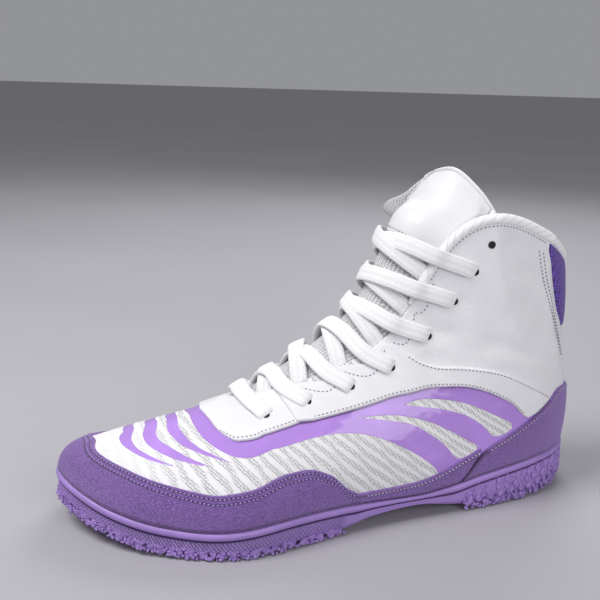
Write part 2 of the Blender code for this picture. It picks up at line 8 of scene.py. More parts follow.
import bpy
import numpy as np
from mathutils import Matrix, Vector


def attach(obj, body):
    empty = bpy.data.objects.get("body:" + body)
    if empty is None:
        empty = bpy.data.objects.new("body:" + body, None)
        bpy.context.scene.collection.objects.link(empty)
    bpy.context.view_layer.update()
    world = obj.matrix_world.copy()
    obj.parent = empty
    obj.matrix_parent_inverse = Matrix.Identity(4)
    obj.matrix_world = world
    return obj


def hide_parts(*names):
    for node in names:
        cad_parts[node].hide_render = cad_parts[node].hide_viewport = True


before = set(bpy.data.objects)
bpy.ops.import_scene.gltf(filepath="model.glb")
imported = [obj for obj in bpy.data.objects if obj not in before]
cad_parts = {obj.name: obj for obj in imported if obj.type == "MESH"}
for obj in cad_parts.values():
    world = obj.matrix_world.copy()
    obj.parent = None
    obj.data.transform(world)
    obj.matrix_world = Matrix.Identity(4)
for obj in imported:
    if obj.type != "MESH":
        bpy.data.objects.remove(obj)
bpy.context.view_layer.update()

bl_info = {
    "name": "Boxing shoe finish",
    "version": (1, 0, 0),
    "blender": (4, 5, 0),
    "location": "View3D > Sidebar > Shoe",
    "description": "Models the visible surfaces of a high-top boxing shoe",
    "category": "Object",
}

MM = 0.001

# The last: the same sections as the solids. Each has the sole's edge on both sides, the top edge with half
# the throat's width, and the wall's angles where it leaves the sole and where it reaches the top.
Section = namedtuple("Section", "name x lateral medial top_x top_z centre gap rise land")
SECTIONS = (
    Section("toe_tip", 142.5, -16.0, -16.0, 112.0, 43.0, -14.0, 0.0, 86, 0),
    Section("toe_round", 137.0, 2.0, -31.5, 110.5, 43.4, -14.0, 0.0, 86, 0),
    Section("toe_side", 120.0, 24.0, -43.0, 104.0, 45.0, -13.0, 0.0, 88, 0),
    Section("toe_back", 95.0, 40.5, -50.5, 91.0, 47.8, -12.0, 0.0, 91, 0),
    Section("ball", 67.0, 50.5, -51.5, 74.0, 52.5, -10.0, 0.0, 92, 4),
    Section("joint", 40.0, 48.0, -46.0, 56.0, 60.0, -8.0, 0.0, 92, 14),
    Section("instep", 15.0, 42.5, -38.5, 28.0, 69.0, -6.0, 13.0, 92, 34),
    Section("waist", -10.0, 38.5, -33.5, 2.0, 79.0, -5.0, 16.0, 92, 46),
    Section("arch", -35.0, 36.5, -32.5, -20.0, 93.0, -4.0, 18.0, 92, 62),
    Section("shank", -60.0, 35.0, -34.5, -37.0, 118.0, -4.0, 21.0, 92, 80),
    Section("heel_side", -86.0, 32.5, -37.0, -51.0, 142.0, -4.0, 25.5, 94, 88),
    Section("heel_round", -113.0, 27.0, -35.5, -74.0, 154.0, -4.0, 31.0, 96, 92),
    Section("heel_corner", -133.5, 14.0, -24.0, -110.0, 142.0, -4.0, 26.0, 98, 95),
    Section("heel_back", -142.5, -5.0, -5.0, -134.0, 126.5, -4.0, 0.0, 99, 96),
)
LAST = len(SECTIONS) - 1
# Section where the throat opens, and its half width a little past that.
THROAT = 5.0
THROAT_ROUNDING = ((0.0, 0.0), (0.2, 4.5), (0.5, 8.5))
# Reach of the wall's end tangents as a share of its span.
PULL = 0.38
STEEPEST_RIDGE = -0.8
# The upper's lower edge stands this far inside the sole's edge and this far above it.
FEATHER_INSET = 1.4
GAP = 0.35
UPPER_WALL = 2.2
TINY = 1e-9

# Heights along the sole: its rim under the upper, and its base over the studs.
SoleHeight = namedtuple("SoleHeight", "x rim base")
SOLE_HEIGHTS = (
    SoleHeight(-142.5, 23.5, 11.0),
    SoleHeight(-128.0, 24.0, 6.0),
    SoleHeight(-113.0, 23.5, 4.0),
    SoleHeight(-98.0, 22.0, 3.0),
    SoleHeight(-70.0, 18.5, 3.0),
    SoleHeight(-56.0, 15.8, 4.5),
    SoleHeight(-32.0, 13.2, 7.5),
    SoleHeight(-8.0, 14.0, 6.0),
    SoleHeight(10.0, 15.2, 3.0),
    SoleHeight(38.0, 15.9, 3.0),
    SoleHeight(80.0, 14.0, 3.0),
    SoleHeight(100.0, 15.2, 4.2),
    SoleHeight(122.0, 19.3, 8.2),
    SoleHeight(137.0, 24.3, 12.6),
    SoleHeight(142.5, 26.8, 15.0),
)

# Edges of the panels: section r and the share v of the wall's height.
GUARD_TOP = (
    (0.0, 0.7), (0.15, 0.698), (1.1, 0.57), (2.0, 0.45), (2.6, 0.36), (3.3, 0.28), (3.8, 0.24),
    (4.3, 0.24), (4.9, 0.28), (5.5, 0.31), (5.95, 0.25), (6.3, 0.12), (6.62, 0.06),
)
BAND_TOP = ((6.5, 0.07), (7.85, 0.08), (8.4, 0.09), (9.0, 0.11), (9.46, 0.12))
BAND_LOW = ((6.5, 0.0), (8.85, 0.0), (9.46, 0.112))
COUNTER_TOP = (
    (8.98, 0.01), (9.58, 0.106), (10.15, 0.133), (10.7, 0.165), (11.2, 0.208), (11.75, 0.27),
    (12.4, 0.295), (13.0, 0.3),
)
TAB_LOW = ((4.15, 0.76), (4.2, 0.69), (4.42, 0.59), (4.78, 0.57), (5.33, 0.63), (5.85, 0.69))
EYESTAY_LOW = (
    (5.7, 0.68), (7.5, 0.68), (8.33, 0.61), (9.08, 0.49), (9.73, 0.38), (10.28, 0.26), (10.6, 0.172),
    (11.25, 0.222),
)
EYESTAY_TOP = (
    (5.7, 1.0), (6.12, 0.995), (6.52, 0.952), (6.95, 0.995), (7.4, 0.952), (7.88, 0.985), (8.25, 0.86),
    (8.55, 0.74), (9.0, 0.62), (9.7, 0.5), (10.28, 0.41), (10.83, 0.305), (11.25, 0.24),
)
CUSHION_LOW = ((11.95, 0.96), (12.05, 0.9), (12.15, 0.8), (12.27, 0.7), (12.6, 0.64), (13.0, 0.62))
# Outlines on the wall, in r and v too: the film's wave, the bare slivers in it and the shaft's leather.
FILM = (
    (4.0, 1.12), (3.79, 0.95), (3.76, 0.78), (3.86, 0.64), (4.1, 0.52), (4.34, 0.465), (4.6, 0.448),
    (5.0, 0.47), (5.58, 0.525), (6.0, 0.551), (6.36, 0.54), (6.78, 0.5), (7.19, 0.43), (7.56, 0.345),
    (7.95, 0.246), (8.3, 0.138), (8.6, 0.02), (9.0, -0.1), (10.6, -0.1), (10.8, 0.1), (10.6, 0.3),
    (9.8, 0.45), (9.1, 0.55), (8.4, 0.66), (7.5, 0.74), (5.8, 0.74), (5.3, 0.68), (4.8, 0.64),
    (4.5, 0.66), (4.3, 0.74), (4.25, 1.12),
)
SLIVERS = (
    (
        (6.72, 0.622), (7.33, 0.585), (7.75, 0.535), (8.2, 0.446), (8.68, 0.316), (9.16, 0.188),
        (9.38, 0.128), (8.9, 0.123), (8.63, 0.22), (8.31, 0.334), (7.94, 0.45), (7.54, 0.52),
        (7.11, 0.58),
    ),
    (
        (7.85, 0.6), (8.2, 0.573), (8.5, 0.525), (9.2, 0.386), (9.78, 0.26), (10.24, 0.16),
        (9.8, 0.146), (9.54, 0.226), (9.15, 0.33), (8.57, 0.455), (8.1, 0.55),
    ),
)
# Stripes of the toe: place x along the shoe, and the share of the outer wall's height up to the ridge at 1,
# then down the inner wall to 2.
STRIPES = (
    (
        (86.0, 0.44), (103.0, 0.55), (111.2, 0.69), (113.0, 0.83), (111.5, 0.95), (110.0, 1.03),
        (109.5, 1.15), (107.0, 1.3), (99.0, 1.45), (86.0, 1.56), (97.0, 1.45), (102.0, 1.3),
        (104.3, 1.15), (104.5, 1.03), (106.0, 0.93), (107.6, 0.8), (105.5, 0.66), (97.0, 0.53),
    ),
    (
        (76.0, 0.45), (91.5, 0.545), (100.4, 0.69), (102.0, 0.83), (100.3, 0.95), (98.8, 1.03),
        (98.3, 1.15), (95.5, 1.3), (88.0, 1.45), (76.0, 1.55), (86.0, 1.45), (90.5, 1.3), (92.5, 1.15),
        (92.7, 1.03), (94.2, 0.93), (95.7, 0.83), (93.8, 0.71), (85.0, 0.55),
    ),
    (
        (63.5, 0.43), (71.5, 0.493), (85.0, 0.65), (89.6, 0.82), (89.0, 0.95), (88.0, 1.03),
        (87.5, 1.15), (84.0, 1.3), (76.0, 1.45), (63.5, 1.57), (72.0, 1.45), (79.5, 1.3), (82.0, 1.15),
        (82.6, 1.03), (83.6, 0.94), (84.2, 0.84), (80.6, 0.66), (71.7, 0.52),
    ),
)
SHAFT = (
    (7.6, 1.2), (8.2, 0.84), (8.55, 0.72), (9.0, 0.6), (9.7, 0.48), (10.28, 0.39), (10.83, 0.28),
    (11.4, 0.15), (13.5, 0.15), (13.5, 1.2),
)
# One section's length and the whole wall's height where the wall is laid flat.
SECTION_MM, WALL_MM = 27.0, 62.0

# Eyelet pairs: section at the throat's edge, place r and v of the hole, and where its crossing starts.
EyeletRow = namedtuple("EyeletRow", "edge r v start")
EYELETS = (
    EyeletRow(5.2, 5.28, 0.76, None),
    EyeletRow(6.0, 6.08, 0.83, 5.56),
    EyeletRow(6.87, 6.95, 0.84, 6.17),
    EyeletRow(7.74, 7.88, 0.84, 6.97),
    EyeletRow(8.52, 8.95, 0.79, 7.84),
    EyeletRow(9.17, 9.88, 0.79, 8.62),
    EyeletRow(9.85, 10.5, 0.84, 9.27),
    EyeletRow(10.1, 10.88, 0.92, None),
)

# Camera of the photograph: angles in degrees, places in millimetres, focal length and frame in pixels.
Camera = namedtuple("Camera", "azimuth elevation distance focal across above roll frame")
CAMERA = Camera(160.18, 13.67, 472.6, 891.7, -19.74, 37.91, 1.82, 600.0)
CAMERA_PIVOT = (0.0, -3.0, 70.0)


class ClosedSpline:
    """Smooth closed curve through evenly numbered values, one column for each quantity."""

    def __init__(self, values):
        self.values = np.asarray(values, float)
        count = len(self.values)
        eye = np.eye(count)
        system = 4.0 * eye + np.roll(eye, 1, 0) + np.roll(eye, -1, 0)
        right = 6.0 * (np.roll(self.values, 1, 0) - 2.0 * self.values + np.roll(self.values, -1, 0))
        self.bend = np.linalg.solve(system, right)

    def __call__(self, u):
        u = np.asarray(u, float)
        count = len(self.values)
        i = np.floor(u).astype(int)
        t = (u - i)[..., None]
        a, b = i % count, (i + 1) % count
        s = 1.0 - t
        line = s * self.values[a] + t * self.values[b]
        return line + ((s**3 - s) * self.bend[a] + (t**3 - t) * self.bend[b]) / 6.0


def unit(vectors):
    return vectors / np.maximum(np.linalg.norm(vectors, axis=-1, keepdims=True), TINY)


def around(lateral_column, medial_column):
    """Values of the sections from the toe along the outer side to the heel and back along the inner side."""
    lateral = [getattr(row, lateral_column) for row in SECTIONS]
    medial = [getattr(row, medial_column) for row in SECTIONS]
    return lateral + medial[-2:0:-1]


TOP_COLUMNS = ("top_x", "top_z", "centre", "rise", "land")
EDGE = ClosedSpline(np.column_stack([around("x", "x"), around("lateral", "medial")]))
TOP = ClosedSpline(np.column_stack([around(name, name) for name in TOP_COLUMNS]))


def cubic_value(x, xs, values):
    """Smooth curve through values at rising places xs that doesn't swing past them."""
    xs, values = np.asarray(xs, float), np.asarray(values, float)
    steps = np.diff(values) / np.diff(xs)
    slopes = np.zeros_like(values)
    before, after = steps[:-1], steps[1:]
    same = before * after > 0
    slopes[1:-1][same] = 2.0 * before[same] * after[same] / (before[same] + after[same])
    slopes[0], slopes[-1] = steps[0], steps[-1]
    x = np.clip(np.asarray(x, float), xs[0], xs[-1])
    i = np.clip(np.searchsorted(xs, x) - 1, 0, len(xs) - 2)
    width = xs[i + 1] - xs[i]
    t = (x - xs[i]) / width
    left = values[i] * (1 + 2 * t) * (1 - t) ** 2 + slopes[i] * width * t * (1 - t) ** 2
    return left + values[i + 1] * t**2 * (3 - 2 * t) + slopes[i + 1] * width * t**2 * (t - 1)


def table_value(x, rows, column):
    """Value of one column at x, from rows that are named tuples with an x."""
    return cubic_value(x, [row.x for row in rows], [getattr(row, column) for row in rows])


def loop_place(r, side):
    """Place on the closed curves for a section on the outer (1) or inner (-1) side."""
    return np.where(np.asarray(side) > 0, r, 2 * LAST - np.asarray(r, float))


def edge_point(r, side, inset=0.0):
    """Point in plan on the sole's edge, moved inwards, and the inward direction there."""
    u = loop_place(r, side)
    step = 0.02
    along = EDGE(u + step) - EDGE(u - step)
    inward = np.stack([-along[..., 1], along[..., 0]], -1)
    inward /= np.linalg.norm(inward, axis=-1, keepdims=True)
    return EDGE(u) + inward * np.asarray(inset, float)[..., None], inward


def throat_gap(r):
    """Half of the throat's width at a section."""
    rows = [(THROAT + away, half) for away, half in THROAT_ROUNDING]
    rows += [(i, row.gap) for i, row in enumerate(SECTIONS) if i > THROAT]
    return np.interp(r, [row[0] for row in rows], [row[1] for row in rows])


def top_point(r, side):
    """Point on the top edge, and the wall's angles at the sole and at that edge."""
    top_x, top_z, centre, rise, land = np.moveaxis(TOP(loop_place(r, side)), -1, 0)
    y = centre + side * throat_gap(r)
    return np.stack([top_x, y, top_z], -1), np.radians(rise), np.radians(land)


def rim_height(r, side):
    return table_value(EDGE(loop_place(r, side))[..., 0], SOLE_HEIGHTS, "rim")


def wall(r, v, side):
    """Outer surface of the upper: section r, share v of the way from the sole up to the top edge."""
    r, v, side = np.broadcast_arrays(np.asarray(r, float), np.asarray(v, float), np.asarray(side, float))
    foot, inward = edge_point(r, side, FEATHER_INSET)
    start = np.concatenate([foot, (rim_height(r, side) + GAP)[..., None]], -1)
    end, rise, land = top_point(r, side)
    across = end - start
    reach = np.linalg.norm(across, axis=-1, keepdims=True) * PULL
    flat = unit(across[..., :2])
    step = 0.02
    place = loop_place(np.maximum(r, 2 * step), side)
    ridge = TOP(place + step)[..., :2] - TOP(place - step)[..., :2]
    slope = ridge[..., 1] / np.where(np.abs(ridge[..., 0]) < TINY, TINY, ridge[..., 0])
    slope = np.clip(slope, STEEPEST_RIDGE, 0.0) * np.clip(THROAT + 1.0 - r, 0.0, 1.0)
    leave = np.concatenate([inward * np.cos(rise)[..., None], np.sin(rise)[..., None]], -1)
    arrive_z = np.sin(land) + np.cos(land) * flat[..., 0] * slope
    arrive = np.concatenate([flat * np.cos(land)[..., None], arrive_z[..., None]], -1)
    one, two = start + leave * reach, end - arrive * reach
    t = v[..., None]
    s = 1.0 - t
    return s**3 * start + 3 * s**2 * t * one + 3 * s * t**2 * two + t**3 * end


def wall_normal(r, v, side):
    """Direction out of the upper's outer surface."""
    r, v, side = np.broadcast_arrays(np.asarray(r, float), np.asarray(v, float), np.asarray(side, float))
    step = 0.01
    r_step = wall(np.clip(r + step, 0, LAST), v, side) - wall(np.clip(r - step, 0, LAST), v, side)
    v_step = wall(r, np.clip(v + step, 0, 1), side) - wall(r, np.clip(v - step, 0, 1), side)
    return unit(np.cross(r_step, v_step) * side[..., None])


def skin(r, v, side, out=0.0):
    """Point that lies out millimetres outside the upper's outer surface."""
    return wall(r, v, side) + wall_normal(r, v, side) * np.asarray(out, float)[..., None]


def edge_away(r, side):
    """Direction in the upper's surface that leaves the throat or collar edge squarely."""
    r = np.asarray(r, float)
    step = 0.02
    after = top_point(np.clip(r + step, THROAT, LAST), side)[0]
    before = top_point(np.clip(r - step, THROAT, LAST), side)[0]
    return unit(np.cross(wall_normal(r, np.ones_like(r), side), after - before) * side)


# How far the surface over the throat bulges: section and reach of its end tangents.
BRIDGE_PULL = ((5.0, 1.0), (5.6, 1.6), (6.5, 2.0), (7.8, 2.2), (8.6, 2.0), (9.4, 1.95), (10.5, 2.05))


def bridge(r, share, out):
    """Surface across the throat from the medial (0) to the lateral (1) edge."""
    r = np.asarray(r, float)
    ones = np.ones_like(r)
    medial, lateral = skin(r, ones, -1, out), skin(r, ones, 1, out)
    pull = curve_value(r, BRIDGE_PULL)[..., None]
    reach = np.linalg.norm(lateral - medial, axis=-1, keepdims=True) * pull
    t = np.asarray(share, float)[..., None]
    s = 1.0 - t
    line = medial * (1 + 2 * t) * s**2 + lateral * t**2 * (3 - 2 * t)
    return line + edge_away(r, -1) * reach * t * s**2 + edge_away(r, 1) * reach * t**2 * s


def curve_value(r, rows):
    """Height of an edge at section r, from its pairs of section and height."""
    return cubic_value(r, [row[0] for row in rows], [row[1] for row in rows])


def smooth_step(before, here, after, far, t):
    """Point of a smooth line from here (t = 0) to after (t = 1), led by the points on either side."""
    line = 2 * here + (after - before) * t + (2 * before - 5 * here + 4 * after - far) * t**2
    return 0.5 * (line + (3 * here - before - 3 * after + far) * t**3)


def eased(outline, steps=6):
    """A closed smooth line through the points of an outline."""
    ring = np.array(outline, float)[:, None, :]
    t = np.arange(steps)[None, :, None] / steps
    before, after, far = np.roll(ring, 1, 0), np.roll(ring, -1, 0), np.roll(ring, -2, 0)
    return smooth_step(before, ring, after, far, t).reshape(-1, 2)


def inside_depth(r, v, outline, length_unit=SECTION_MM):
    """Depth in millimetres inside an outline on the flattened wall, negative outside it."""
    scale = (length_unit, WALL_MM)
    points = np.stack([np.asarray(r), np.asarray(v)], -1) * scale
    ring = eased(outline) * scale
    nearest = np.full(points.shape[:-1], np.inf)
    inside = np.zeros(points.shape[:-1], bool)
    for a, b in zip(ring, np.roll(ring, -1, 0)):
        run = b - a
        t = np.clip(((points - a) @ run) / (run @ run), 0, 1)
        nearest = np.minimum(nearest, np.linalg.norm(points - a - t[..., None] * run, axis=-1))
        crosses = (a[1] > points[..., 1]) != (b[1] > points[..., 1])
        height = b[1] - a[1] if b[1] != a[1] else TINY
        inside ^= crosses & (points[..., 0] < run[0] * (points[..., 1] - a[1]) / height + a[0])
    return np.where(inside, nearest, -nearest)


def smooth(x):
    """A soft step from 0 at 0 to 1 at 1."""
    x = np.clip(x, 0.0, 1.0)
    return x * x * (3.0 - 2.0 * x)


# Sizes and colours that a user would change


def colour(name, text, value):
    return bpy.props.FloatVectorProperty(
        name=name, description=text, subtype="COLOR", size=4, default=value, min=0, max=1
    )


def length(name, text, value):
    return bpy.props.FloatProperty(
        name=name, description=text, default=value, unit="LENGTH", subtype="DISTANCE"
    )


class ShoeColours(bpy.types.PropertyGroup):
    """Colours of the shoe's finishes."""

    leather: colour("Leather", "Smooth white leather", (0.75, 0.74, 0.77, 1.0))
    mesh: colour("Mesh", "White mesh of the vamp", (0.84, 0.83, 0.85, 1.0))
    film: colour("Film", "Glossy film stripes", (0.40, 0.225, 0.64, 1.0))
    suede: colour("Suede", "Toe guard, waist bands and heel counter", (0.2, 0.105, 0.355, 1.0))
    rubber: colour("Rubber", "Sole", (0.32, 0.2, 0.53, 1.0))
    knit: colour("Heel knit", "Cushion at the back of the collar", (0.095, 0.048, 0.27, 1.0))
    textile: colour("Textile", "Laces, binding and tongue", (0.81, 0.81, 0.82, 1.0))
    # Painted shade for the pinholes and the eyelet holes.
    hole_shade: colour("Holes", "Pinholes and eyelets", (0.012, 0.011, 0.014, 1.0))


class ShoeSizes(bpy.types.PropertyGroup):
    """Sizes of the shoe's small pieces."""

    overlay: length("Overlay", "Thickness of a sewn panel", 0.0012)
    stitch: length("Stitch", "Length of one stitch", 0.0014)
    stitch_step: length("Stitch step", "Distance from stitch to stitch", 0.0021)
    lace_width: length("Lace width", "Width of the flat lace", 0.0090)
    lace_wall: length("Lace thickness", "Thickness of the flat lace", 0.0024)
    binding: length("Binding radius", "Radius of the collar's roll", 0.0026)
    rib: length("Rib step", "Distance from rib to rib on the sole's side", 0.0019)


def colours():
    return bpy.context.scene.shoe_colours


def sizes():
    return bpy.context.scene.shoe_sizes


# Meshes


def start_clean():
    """Leaves edit mode and deselects everything."""
    if bpy.context.object and bpy.context.object.mode != "OBJECT":
        bpy.ops.object.mode_set(mode="OBJECT")
    bpy.ops.object.select_all(action="DESELECT")


def only(piece):
    """Selects one piece alone and makes it the active one."""
    start_clean()
    piece.select_set(True)
    bpy.context.view_layer.objects.active = piece


def lay_grid(name, columns, rows, place, uv=None):
    """A grid primitive with its vertices laid where place(a, b) says; a and b run from 0 to 1."""
    start_clean()
    bpy.ops.mesh.primitive_grid_add(x_subdivisions=columns, y_subdivisions=rows, size=2.0)
    piece = bpy.context.object
    piece.name = name
    mesh = piece.data
    flat = np.empty(len(mesh.vertices) * 3)
    mesh.vertices.foreach_get("co", flat)
    flat = flat.reshape(-1, 3)
    a = np.round(np.clip(flat[:, 0] * 0.5 + 0.5, 0, 1) * columns) / columns
    b = np.round(np.clip(flat[:, 1] * 0.5 + 0.5, 0, 1) * rows) / rows
    mesh.vertices.foreach_set("co", (place(a, b) * MM).ravel())
    if uv is not None:
        plan = uv(a, b)
        corner = np.empty(len(mesh.loops), int)
        mesh.loops.foreach_get("vertex_index", corner)
        mesh.uv_layers[0].data.foreach_set("uv", plan[corner].ravel())
    mesh.update()
    return piece, a, b


def give_values(piece, name, values):
    """Stores a number for each vertex, which a finish reads by its name."""
    attribute = piece.data.attributes.new(name, "FLOAT", "POINT")
    attribute.data.foreach_set("value", np.asarray(values, np.float32))


def join(pieces, name):
    """One piece made of several."""
    only(pieces[0])
    for piece in pieces[1:]:
        piece.select_set(True)
    bpy.ops.object.join()
    bpy.context.object.name = name
    return bpy.context.object


def weld(piece, distance):
    """Merges vertices that lie within a distance in millimetres."""
    only(piece)
    bpy.ops.object.mode_set(mode="EDIT")
    bpy.ops.mesh.select_all(action="SELECT")
    bpy.ops.mesh.remove_doubles(threshold=distance * MM)
    bpy.ops.object.mode_set(mode="OBJECT")


def close_and_turn(piece):
    """Fills open ends and turns the faces outwards."""
    only(piece)
    bpy.ops.object.mode_set(mode="EDIT")
    bpy.ops.mesh.select_all(action="DESELECT")
    bpy.ops.mesh.select_mode(type="EDGE")
    bpy.ops.mesh.select_non_manifold()
    bpy.ops.mesh.edge_face_add()
    bpy.ops.mesh.select_all(action="SELECT")
    bpy.ops.mesh.normals_make_consistent(inside=False)
    bpy.ops.object.mode_set(mode="OBJECT")


def thicken(piece, thickness):
    """Gives a sheet its wall, inwards from the side that shows."""
    only(piece)
    modifier = piece.modifiers.new("wall", "SOLIDIFY")
    modifier.thickness = thickness * MM
    modifier.offset = -1.0
    modifier.use_even_offset = False
    bpy.ops.object.modifier_apply(modifier=modifier.name)


def finish_piece(piece, material, nodes=(), angle=None):
    """Shades a piece, gives it its material in a single slot, attaches it to the root body and hides the
    solids that it stands for.
    """
    only(piece)
    if angle is None:
        bpy.ops.object.shade_smooth()
    else:
        bpy.ops.object.shade_smooth_by_angle(angle=math.radians(angle))
    piece.data.materials.clear()
    piece.data.materials.append(material)
    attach(piece, "root")
    if nodes:
        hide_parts(*nodes)
    return piece


def scatter(name, shape, places):
    """Copies of one small shape in a single mesh; each place is an origin and three scaled axes."""
    verts = np.array([v.co for v in shape.data.vertices])
    faces = [tuple(face.vertices) for face in shape.data.polygons]
    points, polygons = [], []
    for number, (origin, along, across, up) in enumerate(places):
        points.append(origin + verts[:, :1] * along + verts[:, 1:2] * across + verts[:, 2:] * up)
        base = number * len(verts)
        polygons += [tuple(base + i for i in face) for face in faces]
    mesh = bpy.data.meshes.new(name)
    mesh.from_pydata((np.concatenate(points) * MM).tolist(), [], polygons)
    mesh.update()
    piece = bpy.data.objects.new(name, mesh)
    bpy.context.collection.objects.link(piece)
    bpy.data.objects.remove(shape, do_unlink=True)
    return piece


# Materials

# Scales of the finishes' patterns, in cells for each metre.
CLOUDS, LEATHER_POLISH, LEATHER_PORES, LEATHER_GRAIN = 60.0, 220.0, 700.0, 1500.0
SUEDE_BRUSHED, SUEDE_CLUMPS, SUEDE_NAP = 45.0, 1300.0, 2400.0
RUBBER_CLOUDS, RUBBER_POLISH, RUBBER_PEBBLES, RUBBER_PORES = 45.0, 300.0, 620.0, 900.0
FILM_GLEAM, FILM_WRINKLES = 35.0, 70.0
TAPE_WEAVE, FIBRES, THREAD_FIBRES = 1400.0, 400.0, 1500.0


class Finish:
    """Short way to add and join the nodes of one material."""

    def __init__(self, name, base, roughness=0.8):
        self.material = bpy.data.materials.new(name)
        self.material.use_nodes = True
        self.tree = self.material.node_tree
        self.shader = self.tree.nodes["Principled BSDF"]
        self.shader.inputs["Base Color"].default_value = base
        self.shader.inputs["Roughness"].default_value = roughness
        self.coords = self.tree.nodes.new("ShaderNodeTexCoord")

    def put(self, socket, value):
        if isinstance(value, bpy.types.NodeSocket):
            self.tree.links.new(value, socket)
        elif value is not None:
            socket.default_value = value

    def set(self, **values):
        """Sets inputs of the shader by their names in small letters."""
        for name, value in values.items():
            self.put(self.shader.inputs[name.replace("_", " ").title().replace("Ior", "IOR")], value)

    def math(self, operation, a, b=None):
        node = self.tree.nodes.new("ShaderNodeMath")
        node.operation = operation
        self.put(node.inputs[0], a)
        self.put(node.inputs[1], b)
        return node.outputs[0]

    def plus(self, a, b):
        return self.math("ADD", a, b)

    def minus(self, a, b):
        return self.math("SUBTRACT", a, b)

    def times(self, a, b):
        return self.math("MULTIPLY", a, b)

    def sine(self, angle):
        return self.math("SINE", angle)

    def flat_place(self):
        """The two numbers of the piece's own UV map, in millimetres."""
        split = self.tree.nodes.new("ShaderNodeSeparateXYZ")
        self.put(split.inputs[0], self.coords.outputs["UV"])
        return split.outputs["X"], split.outputs["Y"]

    def flat_vector(self, across, along):
        """A vector in a plane from its two numbers."""
        node = self.tree.nodes.new("ShaderNodeCombineXYZ")
        self.put(node.inputs[0], across)
        self.put(node.inputs[1], along)
        return node.outputs[0]

    def noise(self, scale, detail=3.0, rough=0.55):
        node = self.tree.nodes.new("ShaderNodeTexNoise")
        self.put(node.inputs["Vector"], self.coords.outputs["Object"])
        node.inputs["Scale"].default_value = scale
        node.inputs["Detail"].default_value = detail
        node.inputs["Roughness"].default_value = rough
        return node.outputs["Fac"]

    def cells(self, scale, randomness, flat=None):
        """Distance to the nearest of scattered points, in Object coordinates or along a flat vector."""
        node = self.tree.nodes.new("ShaderNodeTexVoronoi")
        node.voronoi_dimensions = "2D" if flat else "3D"
        self.put(node.inputs["Vector"], flat or self.coords.outputs["Object"])
        node.inputs["Scale"].default_value = scale
        node.inputs["Randomness"].default_value = randomness
        return node.outputs["Distance"]

    def between(self, value, low, high, out_low=0.0, out_high=1.0):
        """A soft step from out_low to out_high while the value goes from low to high."""
        node = self.tree.nodes.new("ShaderNodeMapRange")
        node.interpolation_type = "SMOOTHSTEP"
        self.put(node.inputs["Value"], value)
        for name, number in zip(("From Min", "From Max", "To Min", "To Max"), (low, high, out_low, out_high)):
            node.inputs[name].default_value = number
        return node.outputs["Result"]

    def mix(self, share, a, b):
        """A mix of two colours, whose sockets stand after those of numbers and vectors."""
        node = self.tree.nodes.new("ShaderNodeMix")
        node.data_type = "RGBA"
        self.put(node.inputs["Factor"], share)
        self.put(node.inputs[6], a)
        self.put(node.inputs[7], b)
        return node.outputs[2]

    def value(self, name):
        node = self.tree.nodes.new("ShaderNodeAttribute")
        node.attribute_name = name
        return node.outputs["Fac"]

    def bump(self, height, strength, distance):
        node = self.tree.nodes.new("ShaderNodeBump")
        node.inputs["Strength"].default_value = strength
        node.inputs["Distance"].default_value = distance
        self.put(node.inputs["Height"], height)
        return node.outputs["Normal"]


def shade(base, factor):
    """A colour made darker or lighter."""
    return tuple(min(1.0, c * factor) for c in base[:3]) + (1.0,)


def kept(name):
    """A finish that an earlier piece has made, or nothing."""
    return bpy.data.materials.get(name)


def leather_tone(f, base):
    """Leather's colour with faint clouds."""
    return f.mix(f.between(f.noise(CLOUDS, detail=4.0), 0.3, 0.75), base, shade(base, 0.94))


def leather_finish():
    name = "smooth_leather"
    if kept(name):
        return kept(name)
    base = tuple(colours().leather)
    f = Finish(name, base)
    # Painted shade along the tongue patch's piping groove.
    in_seam_shade = f.between(f.value("shaded_seam"), 0.15, 0.5, 0.6, 0.0)
    f.set(base_color=f.mix(in_seam_shade, leather_tone(f, base), shade(base, 0.3)))
    f.set(roughness=f.between(f.noise(LEATHER_POLISH), 0.3, 0.7, 0.44, 0.58))
    f.set(coat_weight=0.06, coat_roughness=0.3)
    pores = f.noise(LEATHER_PORES, detail=2.0)
    grain = f.plus(f.cells(LEATHER_GRAIN, randomness=0.9), f.times(pores, 0.6))
    f.set(normal=f.bump(grain, strength=0.16, distance=0.0003))
    return f.material


def suede_finish():
    """Fine nap in clumps with partly painted highlights, brushed in large clouds, with painted shade in its
    sunk seams and along its lower edge.
    """
    name = "suede_nap"
    if kept(name):
        return kept(name)
    base = tuple(colours().suede)
    f = Finish(name, base)
    nap = f.noise(SUEDE_NAP, detail=2.0, rough=0.6)
    clump = f.noise(SUEDE_CLUMPS, detail=2.0, rough=0.5)
    brushed = f.noise(SUEDE_BRUSHED)
    grain = f.plus(f.times(nap, 0.65), f.times(clump, 0.35))
    # The nap's specks: partly its own tone, partly painted highlights on the raised grain and painted shade
    # between.
    speck = f.mix(f.between(grain, 0.4, 0.6), shade(base, 0.56), shade(base, 1.44))
    speck = f.mix(f.between(brushed, 0.35, 0.7, 0.0, 0.35), speck, shade(base, 1.15))
    # Painted shade: darker in the sunk stitch seams and along the panel's lower edge.
    in_seam_shade = f.between(f.value("shaded_seam"), 0.25, 0.85, 0.8, 0.0)
    f.set(base_color=f.mix(in_seam_shade, speck, shade(base, 0.3)))
    f.set(sheen_weight=0.85, sheen_roughness=0.4, sheen_tint=(0.72, 0.56, 0.95, 1.0))
    f.set(specular_ior_level=0.35)
    f.set(roughness=f.between(nap, 0.4, 0.65, 0.9, 0.6))
    f.set(normal=f.bump(grain, strength=1.0, distance=0.0014))
    return f.material


